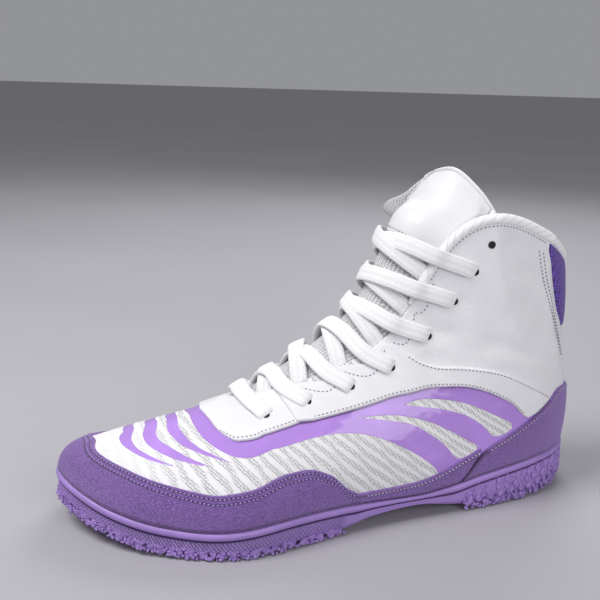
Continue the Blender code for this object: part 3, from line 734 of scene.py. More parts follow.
def rubber_finish():
    """Matt rubber with painted shade in its grooves, pebbled on the studs."""
    name = "sole_rubber"
    if kept(name):
        return kept(name)
    base = tuple(colours().rubber)
    f = Finish(name, base)
    cloud = f.between(f.noise(RUBBER_CLOUDS, detail=4.0), 0.3, 0.7)
    plain = f.mix(cloud, shade(base, 0.92), shade(base, 1.08))
    # Painted shade: near black in the grooves under the upper and the bead and between the ribs.
    f.set(base_color=f.mix(f.times(f.value("dark"), 0.85), plain, shade(base, 0.12)))
    f.set(roughness=f.between(f.noise(RUBBER_POLISH), 0.3, 0.7, 0.42, 0.58))
    pebble = f.times(f.cells(RUBBER_PEBBLES, randomness=1.0), f.times(f.value("pebble"), 5.0))
    f.set(normal=f.bump(f.plus(pebble, f.noise(RUBBER_PORES)), strength=0.35, distance=0.0003))
    return f.material


def knit_finish(name, base, step, light=1.25, strength=0.8):
    """Rows of loops that are step millimetres wide and flatter than that, with painted light on the loops and
    painted shade between them.
    """
    if kept(name):
        return kept(name)
    f = Finish(name, base, 0.9)
    u, v = f.flat_place()
    rows = f.flat_vector(f.times(u, 1.0 / step), f.times(v, 1.6 / step))
    loops = f.cells(1.0, randomness=0.25, flat=rows)
    # Painted light and shade: the loops' tops lighter by the light factor, the gaps between them darker.
    f.set(base_color=f.mix(f.between(loops, 0.1, 0.6), shade(base, light), shade(base, 0.55)))
    f.set(normal=f.bump(f.minus(1.0, loops), strength=strength, distance=0.0006))
    f.set(sheen_weight=0.15)
    return f.material


# Turns of the lace's braid and plait and of the binding's quilting, in radians for each millimetre.
BRAID_TURN = 1.65
PLAIT_TURN = 5.4
QUILT_TURN = 1.15


def lace_finish():
    """Flat braid: ribs across the lace and a slanted plait over them."""
    name = "white_braid"
    if kept(name):
        return kept(name)
    base = tuple(colours().textile)
    f = Finish(name, base, 0.85)
    u, v = f.flat_place()
    ribs = f.math("ABSOLUTE", f.sine(f.times(v, BRAID_TURN)))
    slant = f.math("ABSOLUTE", f.sine(f.times(v, BRAID_TURN / 2)))
    plait = f.sine(f.times(f.plus(u, f.times(slant, 1.2)), PLAIT_TURN))
    braid = f.plus(f.times(ribs, 0.6), f.times(plait, 0.3))
    # Painted shade: the braid's grooves darker and its ridges lighter.
    f.set(base_color=f.mix(f.between(braid, -0.1, 0.8), shade(base, 0.92), shade(base, 1.05)))
    f.set(normal=f.bump(braid, strength=0.4, distance=0.0004))
    f.set(sheen_weight=0.1)
    return f.material


def binding_finish():
    """Woven tape with slanted quilting lines, sunk and painted darker as shade."""
    base = tuple(colours().textile)
    f = Finish("binding_braid", base, 0.85)
    u, v = f.flat_place()
    line = f.between(f.sine(f.times(f.plus(u, v), QUILT_TURN)), 0.8, 1.0)
    weave = f.noise(TAPE_WEAVE, detail=2.0)
    # Painted shade in the sunk quilting lines.
    f.set(base_color=f.mix(f.times(line, 0.3), base, shade(base, 0.55)))
    f.set(normal=f.bump(f.minus(f.times(weave, 0.25), line), strength=0.5, distance=0.0004))
    return f.material


def plain_finish(name, base, roughness, scale=FIBRES):
    if kept(name):
        return kept(name)
    f = Finish(name, base, roughness)
    fibre = f.noise(scale)
    f.set(base_color=f.mix(f.between(fibre, 0.3, 0.7), shade(base, 0.85), shade(base, 1.12)))
    f.set(normal=f.bump(fibre, strength=0.3, distance=0.0003))
    return f.material


# The mesh: turns of its bands and threads in radians for each millimetre, the bands' tilt, which grows from
# the toe and pivots at a height, and where the pinholes start and are full.
BAND_TURN = 0.95
BAND_TILT, BAND_TILT_GROWTH, BAND_MIDDLE = -0.15, 0.008, -40.0
THREAD_TURN = 9.0
HOLES_FROM, HOLES_FULL = 26.0, 62.0


def mesh_pattern(f):
    """Strength of the mesh's pinholes, painted dark as shade in the holes, which lie in slanted bands and
    fade to the toe, and its weave.
    """
    u, v = f.flat_place()
    tilt = f.times(f.plus(f.times(u, BAND_TILT_GROWTH), BAND_TILT), f.plus(v, BAND_MIDDLE))
    lean = f.plus(u, tilt)
    wave = f.sine(f.times(lean, BAND_TURN))
    patch = f.sine(f.plus(f.times(lean, BAND_TURN / 2), f.times(v, 0.36)))
    bands = f.between(f.plus(wave, f.times(patch, 0.55)), -0.9, 0.5)
    across = f.plus(f.times(u, 0.58), f.times(v, 0.38))
    along = f.minus(f.times(v, 1.15), f.times(u, 0.8))
    dots = f.cells(1.0, randomness=0.35, flat=f.flat_vector(across, along))
    pin = f.times(f.between(dots, 0.22, 0.5, 1.0, 0.0), f.between(bands, 0.0, 1.0, 0.05, 0.56))
    pin = f.times(pin, f.between(u, HOLES_FROM, HOLES_FULL, 0.3, 1.0))
    slanted = f.plus(v, f.times(u, 0.3))
    weave = f.times(f.sine(f.times(u, THREAD_TURN)), f.sine(f.times(slanted, THREAD_TURN)))
    return pin, weave


def upper_finish():
    """White mesh with pinholes, glossy film where the film value is positive, leather on the shaft, painted
    shadow below the panels.
    """
    base, film, hole_shade = tuple(colours().mesh), tuple(colours().film), tuple(colours().hole_shade)
    f = Finish("upper_cloth", base)
    on_film = f.between(f.value("film"), -0.12, 0.12)
    on_leather = f.between(f.value("shaft"), -0.12, 0.12)
    pin, weave = mesh_pattern(f)
    cloth = f.mix(f.between(weave, -0.6, 0.6, 0.0, 0.5), base, shade(base, 0.9))
    # Painted shade: the pinholes are near black.
    cloth = f.mix(pin, cloth, hole_shade)
    gleam = f.between(f.noise(FILM_GLEAM, detail=2.0), 0.45, 0.75, 0.0, 0.5)
    body = f.mix(on_film, cloth, f.mix(gleam, film, shade(film, 1.35)))
    # Painted shadow: the upper darkens just below the lower edges of tab and eyestay and in the gap by the
    # counter.
    body = f.mix(f.between(f.value("under"), 0.5, 1.3, 0.75, 0.0), body, shade(film, 0.22))
    f.set(base_color=f.mix(on_leather, body, leather_tone(f, tuple(colours().leather))))
    roughness = f.between(on_film, 0.0, 1.0, 0.85, 0.12)
    f.set(roughness=f.plus(f.times(on_leather, -0.4), roughness))
    plain = f.minus(1.0, f.math("MAXIMUM", on_film, on_leather))
    mesh_relief = f.times(f.minus(f.times(weave, 0.22), f.times(pin, 1.2)), plain)
    grain = f.plus(f.cells(LEATHER_GRAIN, randomness=0.9), f.noise(LEATHER_PORES))
    leather_relief = f.times(grain, f.times(on_leather, 0.3))
    wrinkle = f.times(f.between(f.noise(FILM_WRINKLES, detail=2.0), 0.3, 0.8), 0.7)
    film_relief = f.times(on_film, f.plus(wrinkle, 0.5))
    relief = f.plus(mesh_relief, f.plus(film_relief, leather_relief))
    f.set(normal=f.bump(relief, strength=0.6, distance=0.0006))
    return f.material


# Sole

# Rows down the sole's side; the dark column is painted shade under the upper's edge and in the groove under
# the bead.
SideRow = namedtuple("SideRow", "inset depth ribbed dark")
SIDE_ROWS = (
    SideRow(4.0, 0.05, 0, 1.0),
    SideRow(1.4, 0.0, 0, 0.8),
    SideRow(0.45, 0.12, 0, 0.0),
    SideRow(-0.3, 0.55, 0, 0.0),
    SideRow(-0.78, 1.25, 0, 0.0),
    SideRow(-0.95, 2.1, 0, 0.0),
    SideRow(-0.8, 2.95, 0, 0.0),
    SideRow(-0.35, 3.6, 0, 0.0),
    SideRow(0.3, 4.0, 0, 0.5),
    SideRow(1.35, 4.2, 0, 1.0),
    SideRow(1.4, 4.75, 0, 1.0),
    SideRow(0.35, 5.0, 0, 0.7),
    SideRow(0.0, 5.2, 1, 0.0),
    SideRow(0.0, 6.2, 1, 0.0),
    SideRow(0.0, 7.2, 1, 0.0),
    SideRow(0.0, 8.2, 1, 0.0),
    SideRow(0.0, 9.1, 1, 0.0),
    SideRow(0.35, 9.5, 0, 0.0),
    SideRow(1.0, 10.1, 0, 0.0),
    SideRow(1.4, 11.0, 0, 0.0),
    SideRow(4.5, 10.6, 0, 0.0),
)
FULL_SIDE = 11.0
GROOVE_DEPTH = 5.0
SHALLOW_INSET = 1.0
# The ribs end at this section, over a short fade, and take this share of the side's columns.
RIBBED_TO = 6.3
RIBBED_FADE = 0.15
RIBBED_SHARE = 0.75
RIB_DEPTH = 0.8
RIB_SLANT = 0.4
RIB_CREST, RIB_FLANK = 0.35, 0.4
RIB_SHADE = 0.62
SIDE_COLUMNS = 1440
UP = np.array([0, 0, 1.0])


def base_height(x):
    """Height of the sole's base, which the studs stand under."""
    return table_value(x, SOLE_HEIGHTS, "base")


def arc_table():
    """Distance along the sole's edge from the toe at close steps of r, for each side."""
    r = np.linspace(0, LAST, 800)
    result = {}
    for side in (1, -1):
        points = edge_point(r, side)[0]
        steps = np.linalg.norm(np.diff(points, axis=0), axis=1)
        result[side] = np.r_[0.0, np.cumsum(steps)]
    return r, result


ARC_R, ARC = arc_table()


def arc_length(r, side):
    return np.where(side > 0, np.interp(r, ARC_R, ARC[1]), np.interp(r, ARC_R, ARC[-1]))


def r_at(distance, side):
    """Section at a distance from the toe along the sole's edge."""
    return np.interp(distance, ARC[side], ARC_R)


def both_edges(r, inset):
    """Points in plan along the sole's inner and outer edge, moved inwards."""
    insets = np.full_like(r, inset)
    return edge_point(r, -np.ones_like(r), insets)[0], edge_point(r, np.ones_like(r), insets)[0]


def rib_cut(r, side, depth):
    """Share from 0 on a rib's crest to 1 in the slanted groove beside it."""
    phase = arc_length(r, side) / (sizes().rib / MM) - depth * RIB_SLANT
    away = np.abs((phase % 1.0) * 2.0 - 1.0)
    return smooth((away - RIB_CREST) / RIB_FLANK) * np.clip((RIBBED_TO - r) / RIBBED_FADE, 0, 1)


def sole_side(a, b):
    """Points of the sole's side and the painted shade of its grooves."""
    turn = a * 2.0
    side = np.where(turn <= 1.0, 1.0, -1.0)
    share = np.where(turn <= 1.0, turn, 2.0 - turn)
    r = np.where(
        share < RIBBED_SHARE,
        share / RIBBED_SHARE * RIBBED_TO,
        RIBBED_TO + (share - RIBBED_SHARE) / (1 - RIBBED_SHARE) * (LAST - RIBBED_TO),
    )
    row = np.round((1.0 - b) * (len(SIDE_ROWS) - 1)).astype(int)
    inset, depth, ribbed, dark = np.array(SIDE_ROWS)[row].T
    rim = rim_height(r, side)
    height = rim - base_height(EDGE(loop_place(r, side))[:, 0])
    low = height < FULL_SIDE
    stretch = GROOVE_DEPTH + (depth - GROOVE_DEPTH) * (height - GROOVE_DEPTH) / (FULL_SIDE - GROOVE_DEPTH)
    depth = np.where(low, depth * height / FULL_SIDE, np.where(depth > GROOVE_DEPTH, stretch, depth))
    inset = np.where(low & (inset < SHALLOW_INSET), inset * height / FULL_SIDE, inset)
    cut = ribbed * rib_cut(r, side, depth)
    foot = edge_point(r, side, inset + RIB_DEPTH * cut)[0]
    return np.column_stack([foot, rim - depth]), np.maximum(RIB_SHADE * cut, dark)


# Lines across the tread that bound the studs, and the plain oval of the heel.
TreadLine = namedtuple("TreadLine", "x bend")
FORE_LINE = TreadLine(-13.0, 0.0125)
HEEL_LINE = TreadLine(-57.0, -0.006)
LINE_MIDDLE = -2.0
LINE_WIDTH = 0.9
LINE_DEPTH = 0.9
Oval = namedtuple("Oval", "x y half_long half_wide")
OVAL = Oval(-108.0, -3.5, 13.5, 8.5)
OVAL_RAISE, OVAL_EDGE = 0.7, 1.2
FLOOR_INSET = 1.5
FLOOR_COLUMNS, FLOOR_ROWS = 220, 48


def line_gap(x, y, line):
    """Distance in front of a line across the tread."""
    return x - (line.x + line.bend * (y - LINE_MIDDLE) ** 2)


def oval_gap(x, y):
    """Distance outside the heel's oval, negative inside it."""
    return (np.hypot((x - OVAL.x) / OVAL.half_long, (y - OVAL.y) / OVAL.half_wide) - 1.0) * OVAL.half_wide


def sole_floor(a, b):
    """Underside of the sole with its two lines and the raised oval."""
    medial, lateral = both_edges(a * LAST, FLOOR_INSET)
    plan = medial + (lateral - medial) * b[:, None]
    x, y = plan.T
    groove = np.minimum(np.abs(line_gap(x, y, FORE_LINE)), np.abs(line_gap(x, y, HEEL_LINE)))
    groove = np.minimum(groove, np.abs(oval_gap(x, y)))
    z = base_height(x) + LINE_DEPTH * np.clip(1.0 - groove / LINE_WIDTH, 0, 1)
    z = z - OVAL_RAISE * smooth(-oval_gap(x, y) / OVAL_EDGE)
    return np.column_stack([plan, z])


STUD_SIDES = 10
STUD_BEVEL = 0.2
STUD_NOSE, STUD_PINCH, STUD_FLARE = 1.25, 0.45, 0.22
STUD_ROUGH, STUD_ROUGH_FROM = 0.07, 0.3


def stud_shape():
    """A rough teardrop with a narrow end towards the toe, one unit high."""
    start_clean()
    bpy.ops.mesh.primitive_cylinder_add(vertices=STUD_SIDES, radius=1.0, depth=1.0, end_fill_type="NGON")
    shape = bpy.context.object
    bpy.ops.object.mode_set(mode="EDIT")
    bpy.ops.mesh.select_all(action="DESELECT")
    bpy.ops.object.mode_set(mode="OBJECT")
    for edge in shape.data.edges:
        edge.select = all(shape.data.vertices[i].co.z > 0 for i in edge.vertices)
    bpy.ops.object.mode_set(mode="EDIT")
    bpy.ops.mesh.bevel(offset=STUD_BEVEL, segments=1, affect="EDGES")
    bpy.ops.object.mode_set(mode="OBJECT")
    for vert in shape.data.vertices:
        pinch = 1.0 - STUD_PINCH * max(0.0, vert.co.x)
        flare = 1.0 - STUD_FLARE * (vert.co.z + 0.5)
        vert.co.x *= 1.0 if vert.co.x < 0 else STUD_NOSE
        vert.co.y *= pinch
        vert.co.x *= flare
        vert.co.y *= flare
        vert.co.z += 0.5
    rough = np.random.default_rng(3)
    for vert in shape.data.vertices:
        if vert.co.z > STUD_ROUGH_FROM:
            vert.co += Vector(rough.uniform(-STUD_ROUGH, STUD_ROUGH, 3))
            vert.co.z = min(vert.co.z, 1.0)
    return shape


STUD_STEP_X, STUD_STEP_Y = 7.6, 8.0
STUD_HALF, STUD_WIDE = 2.9, 2.75
STUD_HEIGHT = 3.0
STUD_SUNK = 0.3
STUDS_FROM_X, STUDS_TO_X = -136.0, 139.0
STUDS_FROM_Y, STUDS_TO_Y = -56.0, 57.0
STUD_INSET = 8.6
STUD_OFF_TIP = 1.0
STUD_OFF_LINE, STUD_OFF_OVAL = 4.5, 3.4


def field_studs():
    """Studs in staggered rows over forefoot and heel, clear of the lines and the oval."""
    places = []
    medial, lateral = both_edges(np.linspace(0, LAST, 500), STUD_INSET)
    for number, x in enumerate(np.arange(STUDS_FROM_X, STUDS_TO_X, STUD_STEP_X / 2)):
        if x > lateral[0, 0] - STUD_OFF_TIP or x < lateral[-1, 0] + STUD_OFF_TIP:
            continue
        high = np.interp(x, lateral[::-1, 0], lateral[::-1, 1])
        low = np.interp(x, medial[::-1, 0], medial[::-1, 1])
        shift = STUD_STEP_Y / 2 if number % 2 else 0.0
        along = unit(np.array([1.0, 0.0, float(base_height(x + 1.0) - base_height(x - 1.0)) / 2]))
        down = np.array([along[2], 0.0, -along[0]])
        for y in np.arange(STUDS_FROM_Y, STUDS_TO_Y, STUD_STEP_Y) + shift:
            fore = line_gap(x, y, FORE_LINE) > STUD_OFF_LINE
            heel = line_gap(x, y, HEEL_LINE) < -STUD_OFF_LINE
            if not low < y < high or not (fore or heel) or oval_gap(x, y) < STUD_OFF_OVAL:
                continue
            origin = np.array([x, y, float(base_height(x)) + STUD_SUNK])
            across = np.array([0, -STUD_WIDE, 0])
            places.append((origin, along * STUD_HALF, across, down * (STUD_HEIGHT + STUD_SUNK)))
    return places


def by_edge(r, side, inset):
    """One point in plan by the sole's edge, and the level directions inwards and along the edge there."""
    foot, inward = edge_point(r, float(side), np.array([inset]))
    inner = np.r_[inward[0], 0.0]
    return foot[0], inner, np.cross(inner, UP)


# Two rows of larger studs hang along the tread's outline, at the forefoot and at the heel.
FringeRow = namedtuple("FringeRow", "inset spacing wide shift")
FRINGE_ROWS = (FringeRow(2.3, 5.0, 2.7, 0.0), FringeRow(5.0, 5.0, 2.6, 2.5))
FRINGE_SPANS = ((0.0, 6.2), (9.55, LAST))
FRINGE_END = 2.5
FRINGE_SUNK = 1.6
FRINGE_HEIGHT = STUD_HEIGHT + 1.55


def fringe_studs(chance):
    places = []
    for side in (1, -1):
        for first, last in FRINGE_SPANS:
            start, stop = arc_length(np.array([first, last]), side)
            for row in FRINGE_ROWS:
                count = int((stop - start) / row.spacing)
                for distance in np.linspace(start + FRINGE_END, stop - FRINGE_END, count) + row.shift:
                    r = np.array([r_at(distance + chance.uniform(-0.9, 0.9), side)])
                    foot, inner, tangent = by_edge(r, side, row.inset + chance.uniform(-0.5, 0.3))
                    lean = unit(-UP - inner * chance.uniform(0.05, 0.3))
                    long = row.wide * chance.uniform(0.8, 1.15)
                    broad = row.wide * chance.uniform(0.65, 1.15)
                    tall = FRINGE_HEIGHT - chance.uniform(0.0, 1.0)
                    origin = np.r_[foot, float(base_height(foot[0])) + FRINGE_SUNK]
                    places.append((origin, inner * long, tangent * broad, lean * tall))
    return places


# Rows of studs up the heel's side: level from the ribbed strip (0) to the floor (1), and first section.
HeelRow = namedtuple("HeelRow", "level reach shift")
HEEL_ROWS = (HeelRow(0.12, 9.9, 0.0), HeelRow(0.42, 9.5, 3.0), HeelRow(0.72, 9.2, 0.0))
HEEL_STUD_STEP = 6.0
HEEL_STUD_END = 2.0
HEEL_STUD_INSET = 1.1
HEEL_STUD_LONG, HEEL_STUD_WIDE, HEEL_STUD_OUT = 2.3, 2.2, 1.5
BELOW_BEAD = 5.6


def heel_studs(chance):
    places = []
    for side in (1, -1):
        for row in HEEL_ROWS:
            start, stop = arc_length(np.array([row.reach, LAST]), side)
            count = int((stop - start) / HEEL_STUD_STEP)
            for distance in np.linspace(start, stop - HEEL_STUD_END, count) + row.shift:
                r = np.array([r_at(distance + chance.uniform(-1.2, 1.2), side)])
                foot, inner, tangent = by_edge(r, side, HEEL_STUD_INSET)
                top = float(rim_height(r, float(side))[0]) - BELOW_BEAD
                z = top - (top - float(base_height(foot[0]))) * row.level
                out = HEEL_STUD_OUT + 0.5 * row.level + chance.uniform(0.0, 0.5)
                size = chance.uniform(0.7, 1.15)
                along = UP * HEEL_STUD_LONG + tangent * chance.uniform(-0.9, 0.9) * side
                places.append((np.r_[foot, z], along * size, tangent * HEEL_STUD_WIDE * size, -inner * out))
    return places


# Rough lumps on the tread's outer side; a field with no height reaches up to the bead.
CrumbField = namedtuple("CrumbField", "first last count height")
CRUMB_FIELDS = (CrumbField(0.0, 6.25, 460, 1.9), CrumbField(9.0, LAST, 620, None))
CRUMB_BELOW_BEAD = 5.4
CRUMB_BELOW_FLOOR = 2.2
CRUMB_CLEAR = 1.3
CRUMB_LONG = 1.3
CRUMB_INSET, CRUMB_SPREAD = 0.3, 1.1


def crumb_places():
    chance = np.random.default_rng(11)
    places = []
    for field in CRUMB_FIELDS:
        for side in (1, -1):
            start, stop = arc_length(np.array([field.first, field.last]), side)
            for distance in chance.uniform(start, stop, field.count):
                r = np.array([r_at(distance, side)])
                floor = float(base_height(EDGE(loop_place(r, side))[0, 0]))
                if field.height is None:
                    height = float(rim_height(r, side)[0]) - CRUMB_BELOW_BEAD
                else:
                    height = floor + field.height
                level = chance.uniform(0.0, 1.0)
                size = chance.uniform(0.45, 1.0)
                rise = (height - floor + CRUMB_BELOW_FLOOR) * level
                z = max(floor - CRUMB_BELOW_FLOOR + rise, CRUMB_CLEAR * size)
                inset = CRUMB_INSET - CRUMB_SPREAD * (1 - level) + chance.uniform(0.0, 0.7)
                foot = edge_point(r, float(side), np.array([inset]))[0][0]
                turn = chance.uniform(0, 2 * math.pi)
                along = np.array([math.cos(turn), math.sin(turn), chance.uniform(-0.5, 0.5)])
                across = np.cross(along, UP)
                up = np.cross(along, across)
                broad = size * chance.uniform(0.7, 1.1)
                places.append((np.r_[foot, z], along * size * CRUMB_LONG, across * broad, up * size))
    return places


def crumb_shape():
    start_clean()
    bpy.ops.mesh.primitive_ico_sphere_add(subdivisions=1, radius=1.0)
    lump = bpy.context.object
    rough = np.random.default_rng(5)
    for vert in lump.data.vertices:
        vert.co *= rough.uniform(0.82, 1.12)
    return lump


def make_sole():
    side, a, b = lay_grid("sole_side", SIDE_COLUMNS, len(SIDE_ROWS) - 1, lambda a, b: sole_side(a, b)[0])
    # The dark value places the painted shade of the grooves.
    give_values(side, "dark", sole_side(a, b)[1])
    weld(side, 0.02)
    floor, _, _ = lay_grid("sole_floor", FLOOR_COLUMNS, FLOOR_ROWS, sole_floor)
    chance = np.random.default_rng(7)
    studs = scatter("sole_studs", stud_shape(), field_studs() + fringe_studs(chance) + heel_studs(chance))
    crumbs = scatter("sole_crumbs", crumb_shape(), crumb_places())
    studs = join([studs, crumbs], "sole_studs")
    give_values(studs, "pebble", np.ones(len(studs.data.vertices)))
    sole = join([side, floor, studs], "sole")
    return finish_piece(sole, rubber_finish(), ("outsole",), 40)


INSOLE_LONG, INSOLE_WIDE = 280.0, 80.0
INSOLE_INSET = 6.0
INSOLE_RAISE = 2.6
INSOLE_DISH = 1.2
INSOLE_WALL = 2.2


def insole_place(a, b):
    r = a * LAST
    share = 1.0 - b
    medial, lateral = both_edges(r, INSOLE_INSET)
    plan = medial + (lateral - medial) * share[:, None]
    rim = rim_height(r, np.ones_like(r)) * share + rim_height(r, -np.ones_like(r)) * (1 - share)
    dish = INSOLE_DISH * (2.0 * share - 1.0) ** 4
    return np.column_stack([plan, rim + GAP + INSOLE_RAISE + dish])


def insole_plan(a, b):
    return np.column_stack([a * INSOLE_LONG, b * INSOLE_WIDE])


def make_insole():
    bed, _, _ = lay_grid("insole_bed", 120, 24, insole_place, insole_plan)
    thicken(bed, INSOLE_WALL)
    cloth = knit_finish("bed_cloth", (0.55, 0.54, 0.57, 1.0), step=1.2)
    return finish_piece(bed, cloth, ("insole",))


# Upper

Crease = namedtuple("Crease", "r v to_r to_v width depth")
CREASES = (
    Crease(8.75, 0.86, 9.7, 0.66, 3.2, 0.75),
    Crease(8.55, 0.80, 9.3, 0.66, 2.6, -0.4),
    Crease(9.4, 0.88, 10.3, 0.72, 3.0, 0.55),
    Crease(10.2, 0.56, 11.3, 0.42, 4.0, 0.6),
    Crease(10.0, 0.50, 11.2, 0.36, 3.2, -0.4),
    Crease(11.3, 0.72, 12.3, 0.56, 4.5, 0.7),
    Crease(11.2, 0.86, 12.0, 0.80, 3.6, 0.4),
    Crease(3.3, 0.66, 4.0, 0.52, 3.0, 0.3),
    Crease(2.6, 0.95, 3.0, 0.66, 3.2, 0.25),
)
SHAFT_MM = 100.0
CREASE_END = 0.3


def crease_height(r, v):
    """Depth of the soft folds in millimetres, positive inwards."""
    scale = np.array([SECTION_MM, SHAFT_MM])
    points = np.stack([r, v], -1) * scale
    depth = np.zeros(len(r))
    for crease in CREASES:
        a = np.array([crease.r, crease.v]) * scale
        run = np.array([crease.to_r, crease.to_v]) * scale - a
        t = ((points - a) @ run) / (run @ run)
        gap = np.linalg.norm(points - a - np.clip(t, 0, 1)[:, None] * run, axis=1)
        ends = smooth(t / CREASE_END + CREASE_END) * smooth((1 - t) / CREASE_END + CREASE_END)
        depth += crease.depth * np.exp(-((gap / crease.width) ** 2)) * ends
    return depth


def film_depth(r, v, side):
    """Depth inside the film: its wave without the bare slivers, and the toe's stripes over the ridge."""
    film = inside_depth(r, v, FILM)
    for sliver in SLIVERS:
        film = np.minimum(film, -inside_depth(r, v, sliver))
    x = wall(r, v, side)[..., 0]
    over = v if side > 0 else 2.0 - v
    for stripe in STRIPES:
        film = np.maximum(film, inside_depth(x, over, stripe, 1.0))
    return film


# Painted shadow in the gap where the counter meets the waist band, near the sole.
SEAM_GROOVE = ((8.7, -0.2), (9.15, -0.2), (9.75, 0.125), (9.3, 0.115))
SEAM_GROOVE_TOP = 0.09
TAB_SHADE_END, STAY_SHADE_END = 5.72, 10.4
FAR = 9.0


def below_panels(r, v, side):
    """Distance below the lower edge of tab and eyestay in millimetres, where the finish paints shadow: 0 in
    the groove, large elsewhere.
    """
    middle = wall(r, np.full_like(r, 0.5), side)
    tall = np.linalg.norm(wall(r, np.ones_like(r), side) - middle, axis=-1) * 2.0
    gap = np.full(len(r), FAR)
    for rows, last in ((TAB_LOW, TAB_SHADE_END), (EYESTAY_LOW, STAY_SHADE_END)):
        inside = (r >= rows[0][0]) & (r <= last)
        away = (curve_value(r, rows) - v) * tall
        gap = np.where(inside & (away > -1.0), np.minimum(gap, np.maximum(away, 0.0)), gap)
    return np.where((inside_depth(r, v, SEAM_GROOVE) > 0) & (v < SEAM_GROOVE_TOP), 0.0, gap)


UPPER_COLUMNS, UPPER_ROWS = 250, 72
FILM_RAISE, FILM_EDGE = 0.14, 0.5
CREASE_TOP, CREASE_FADE = 0.99, 0.05
# The mesh's pattern is measured back from the toe and up the wall, spread where the wall leans in.
TOE_X, MIDDLE_Y = 142.0, -12.0
HALF_WIDTH, LEAN_SPREAD = 50.0, 0.6


def upper_half(side):
    """One side of the upper with the values that its finish reads."""

    def sections(a):
        return LAST * (a if side > 0 else 1.0 - a)

    def place(a, b):
        r = sections(a)
        raised = FILM_RAISE * smooth(film_depth(r, b, side) / FILM_EDGE + 0.5)
        fold = crease_height(r, b) * smooth((CREASE_TOP - b) / CREASE_FADE)
        return skin(r, b, np.full_like(r, side), raised - fold)

    def plan(a, b):
        x, y, z = wall(sections(a), b, side).T
        return np.column_stack([TOE_X - x, z + LEAN_SPREAD * (HALF_WIDTH - np.abs(y - MIDDLE_Y))])

    half, a, b = lay_grid("upper_half", UPPER_COLUMNS, UPPER_ROWS, place, plan)
    r = sections(a)
    give_values(half, "film", film_depth(r, b, side))
    give_values(half, "shaft", inside_depth(r, b, SHAFT))
    give_values(half, "under", below_panels(r, b, side))
    return half


def make_upper():
    upper = join([upper_half(1.0), upper_half(-1.0)], "upper_skin")
    weld(upper, 0.12)
    thicken(upper, UPPER_WALL)
    return finish_piece(upper, upper_finish(), ("upper",))


# Panels sewn on the upper

Cut = namedtuple("Cut", "first last wrap low high")
PANEL_GAP = 0.3
PANEL_BACK = 0.6
EDGE_SINK = 0.25
EDGE_RADIUS = 1.1


def cluster(b):
    """Closer steps near both edges."""
    return 0.5 - 0.5 * np.cos(math.pi * b)


def rounded(gap, thickness, distance, radius=EDGE_RADIUS):
    """Height of a panel over the upper: full inside, sunk into the upper at its very edge."""
    lift = np.sqrt(np.clip(1.0 - (1.0 - np.clip(distance / radius, 0, 1)) ** 2, 0, 1))
    return -EDGE_SINK + (gap + thickness + EDGE_SINK) * lift


def cut_sections(cut, a):
    """Section and side at each share of a cut, which goes round the toe, round the heel or along a side."""
    if cut.wrap == "toe":
        place = -cut.last + 2.0 * cut.last * a
        return np.abs(place), np.where(place >= 0, 1.0, -1.0)
    if cut.wrap == "heel":
        place = cut.first + 2.0 * (LAST - cut.first) * a
        outer = place <= LAST
        return np.where(outer, place, 2 * LAST - place), np.where(outer, 1.0, -1.0)
    share = a if cut.wrap > 0 else 1.0 - a
    return cut.first + (cut.last - cut.first) * share, np.full_like(a, float(cut.wrap))


def cut_places(cut, a, b):
    """Section, share of the wall and side, and the distances to the cut's upper and lower edge."""
    r, side = cut_sections(cut, a)
    bottom, top = curve_value(r, cut.low), curve_value(r, cut.high)
    tall = np.linalg.norm(wall(r, top, side) - wall(r, bottom, side), axis=-1)
    share = cluster(b)
    return r, bottom + (top - bottom) * share, side, (1 - share) * tall, share * tall


def panel(name, columns, rows, cut, thickness, extra=None, tucked=False, shadow=None):
    """Panel over a cut; tucked hides its lower edge, shadow gives the distance to its lines of painted shade.
    """

    def place(a, b):
        r, v, side, below_top, above_low = cut_places(cut, a, b)
        turns = 2.0 if cut.wrap in ("toe", "heel") else 1.0
        ends = np.minimum(a, 1.0 - a) * abs(cut.last - cut.first) * SECTION_MM * turns
        if tucked:
            edge = np.where(cluster(b) < 0.5, FAR, below_top)
        else:
            edge = np.minimum(below_top, above_low)
        out = rounded(PANEL_GAP, thickness, np.minimum(edge, ends))
        if extra is not None:
            out = out + extra(r, v)
        return skin(r, v, side, out)

    def plan(a, b):
        r, v = cut_places(cut, a, b)[:2]
        return np.column_stack([r * SECTION_MM, v * WALL_MM])

    piece, a, b = lay_grid(name, columns, rows, place, plan)
    r, _, _, below_top, above_low = cut_places(cut, a, b)
    # Distance to the lines where the finish paints shade.
    give_values(piece, "shaded_seam", shadow(r, below_top, above_low) if shadow else np.full_like(r, FAR))
    thicken(piece, PANEL_BACK)
    return piece


# Distances of the seams below a guard's upper edge, and how much wider the shadow of an edge is.
GUARD_SEAMS, COUNTER_SEAMS, BAND_SEAMS = (2.2, 4.6), (1.9,), (1.6,)
SOLE_SHADOW, JOINT_SHADOW = 0.45, 0.4


def seam_gap(seams, below_top, above_low):
    return np.min([np.abs(below_top - shaded_seam) for shaded_seam in seams] + [SOLE_SHADOW * above_low], axis=0)


def guard_shadow(_, below_top, above_low):
    return seam_gap(GUARD_SEAMS, below_top, above_low)


def counter_shadow(r, below_top, above_low):
    gap = seam_gap(COUNTER_SEAMS, below_top, above_low)
    return np.where(r < COUNTER_TOP[1][0], np.minimum(gap, JOINT_SHADOW * below_top), gap)


def band_shadow(r, below_top, above_low):
    gap = seam_gap(BAND_SEAMS, below_top, above_low)
    return np.where(r > BAND_LOW[1][0], np.minimum(gap, JOINT_SHADOW * above_low), gap)


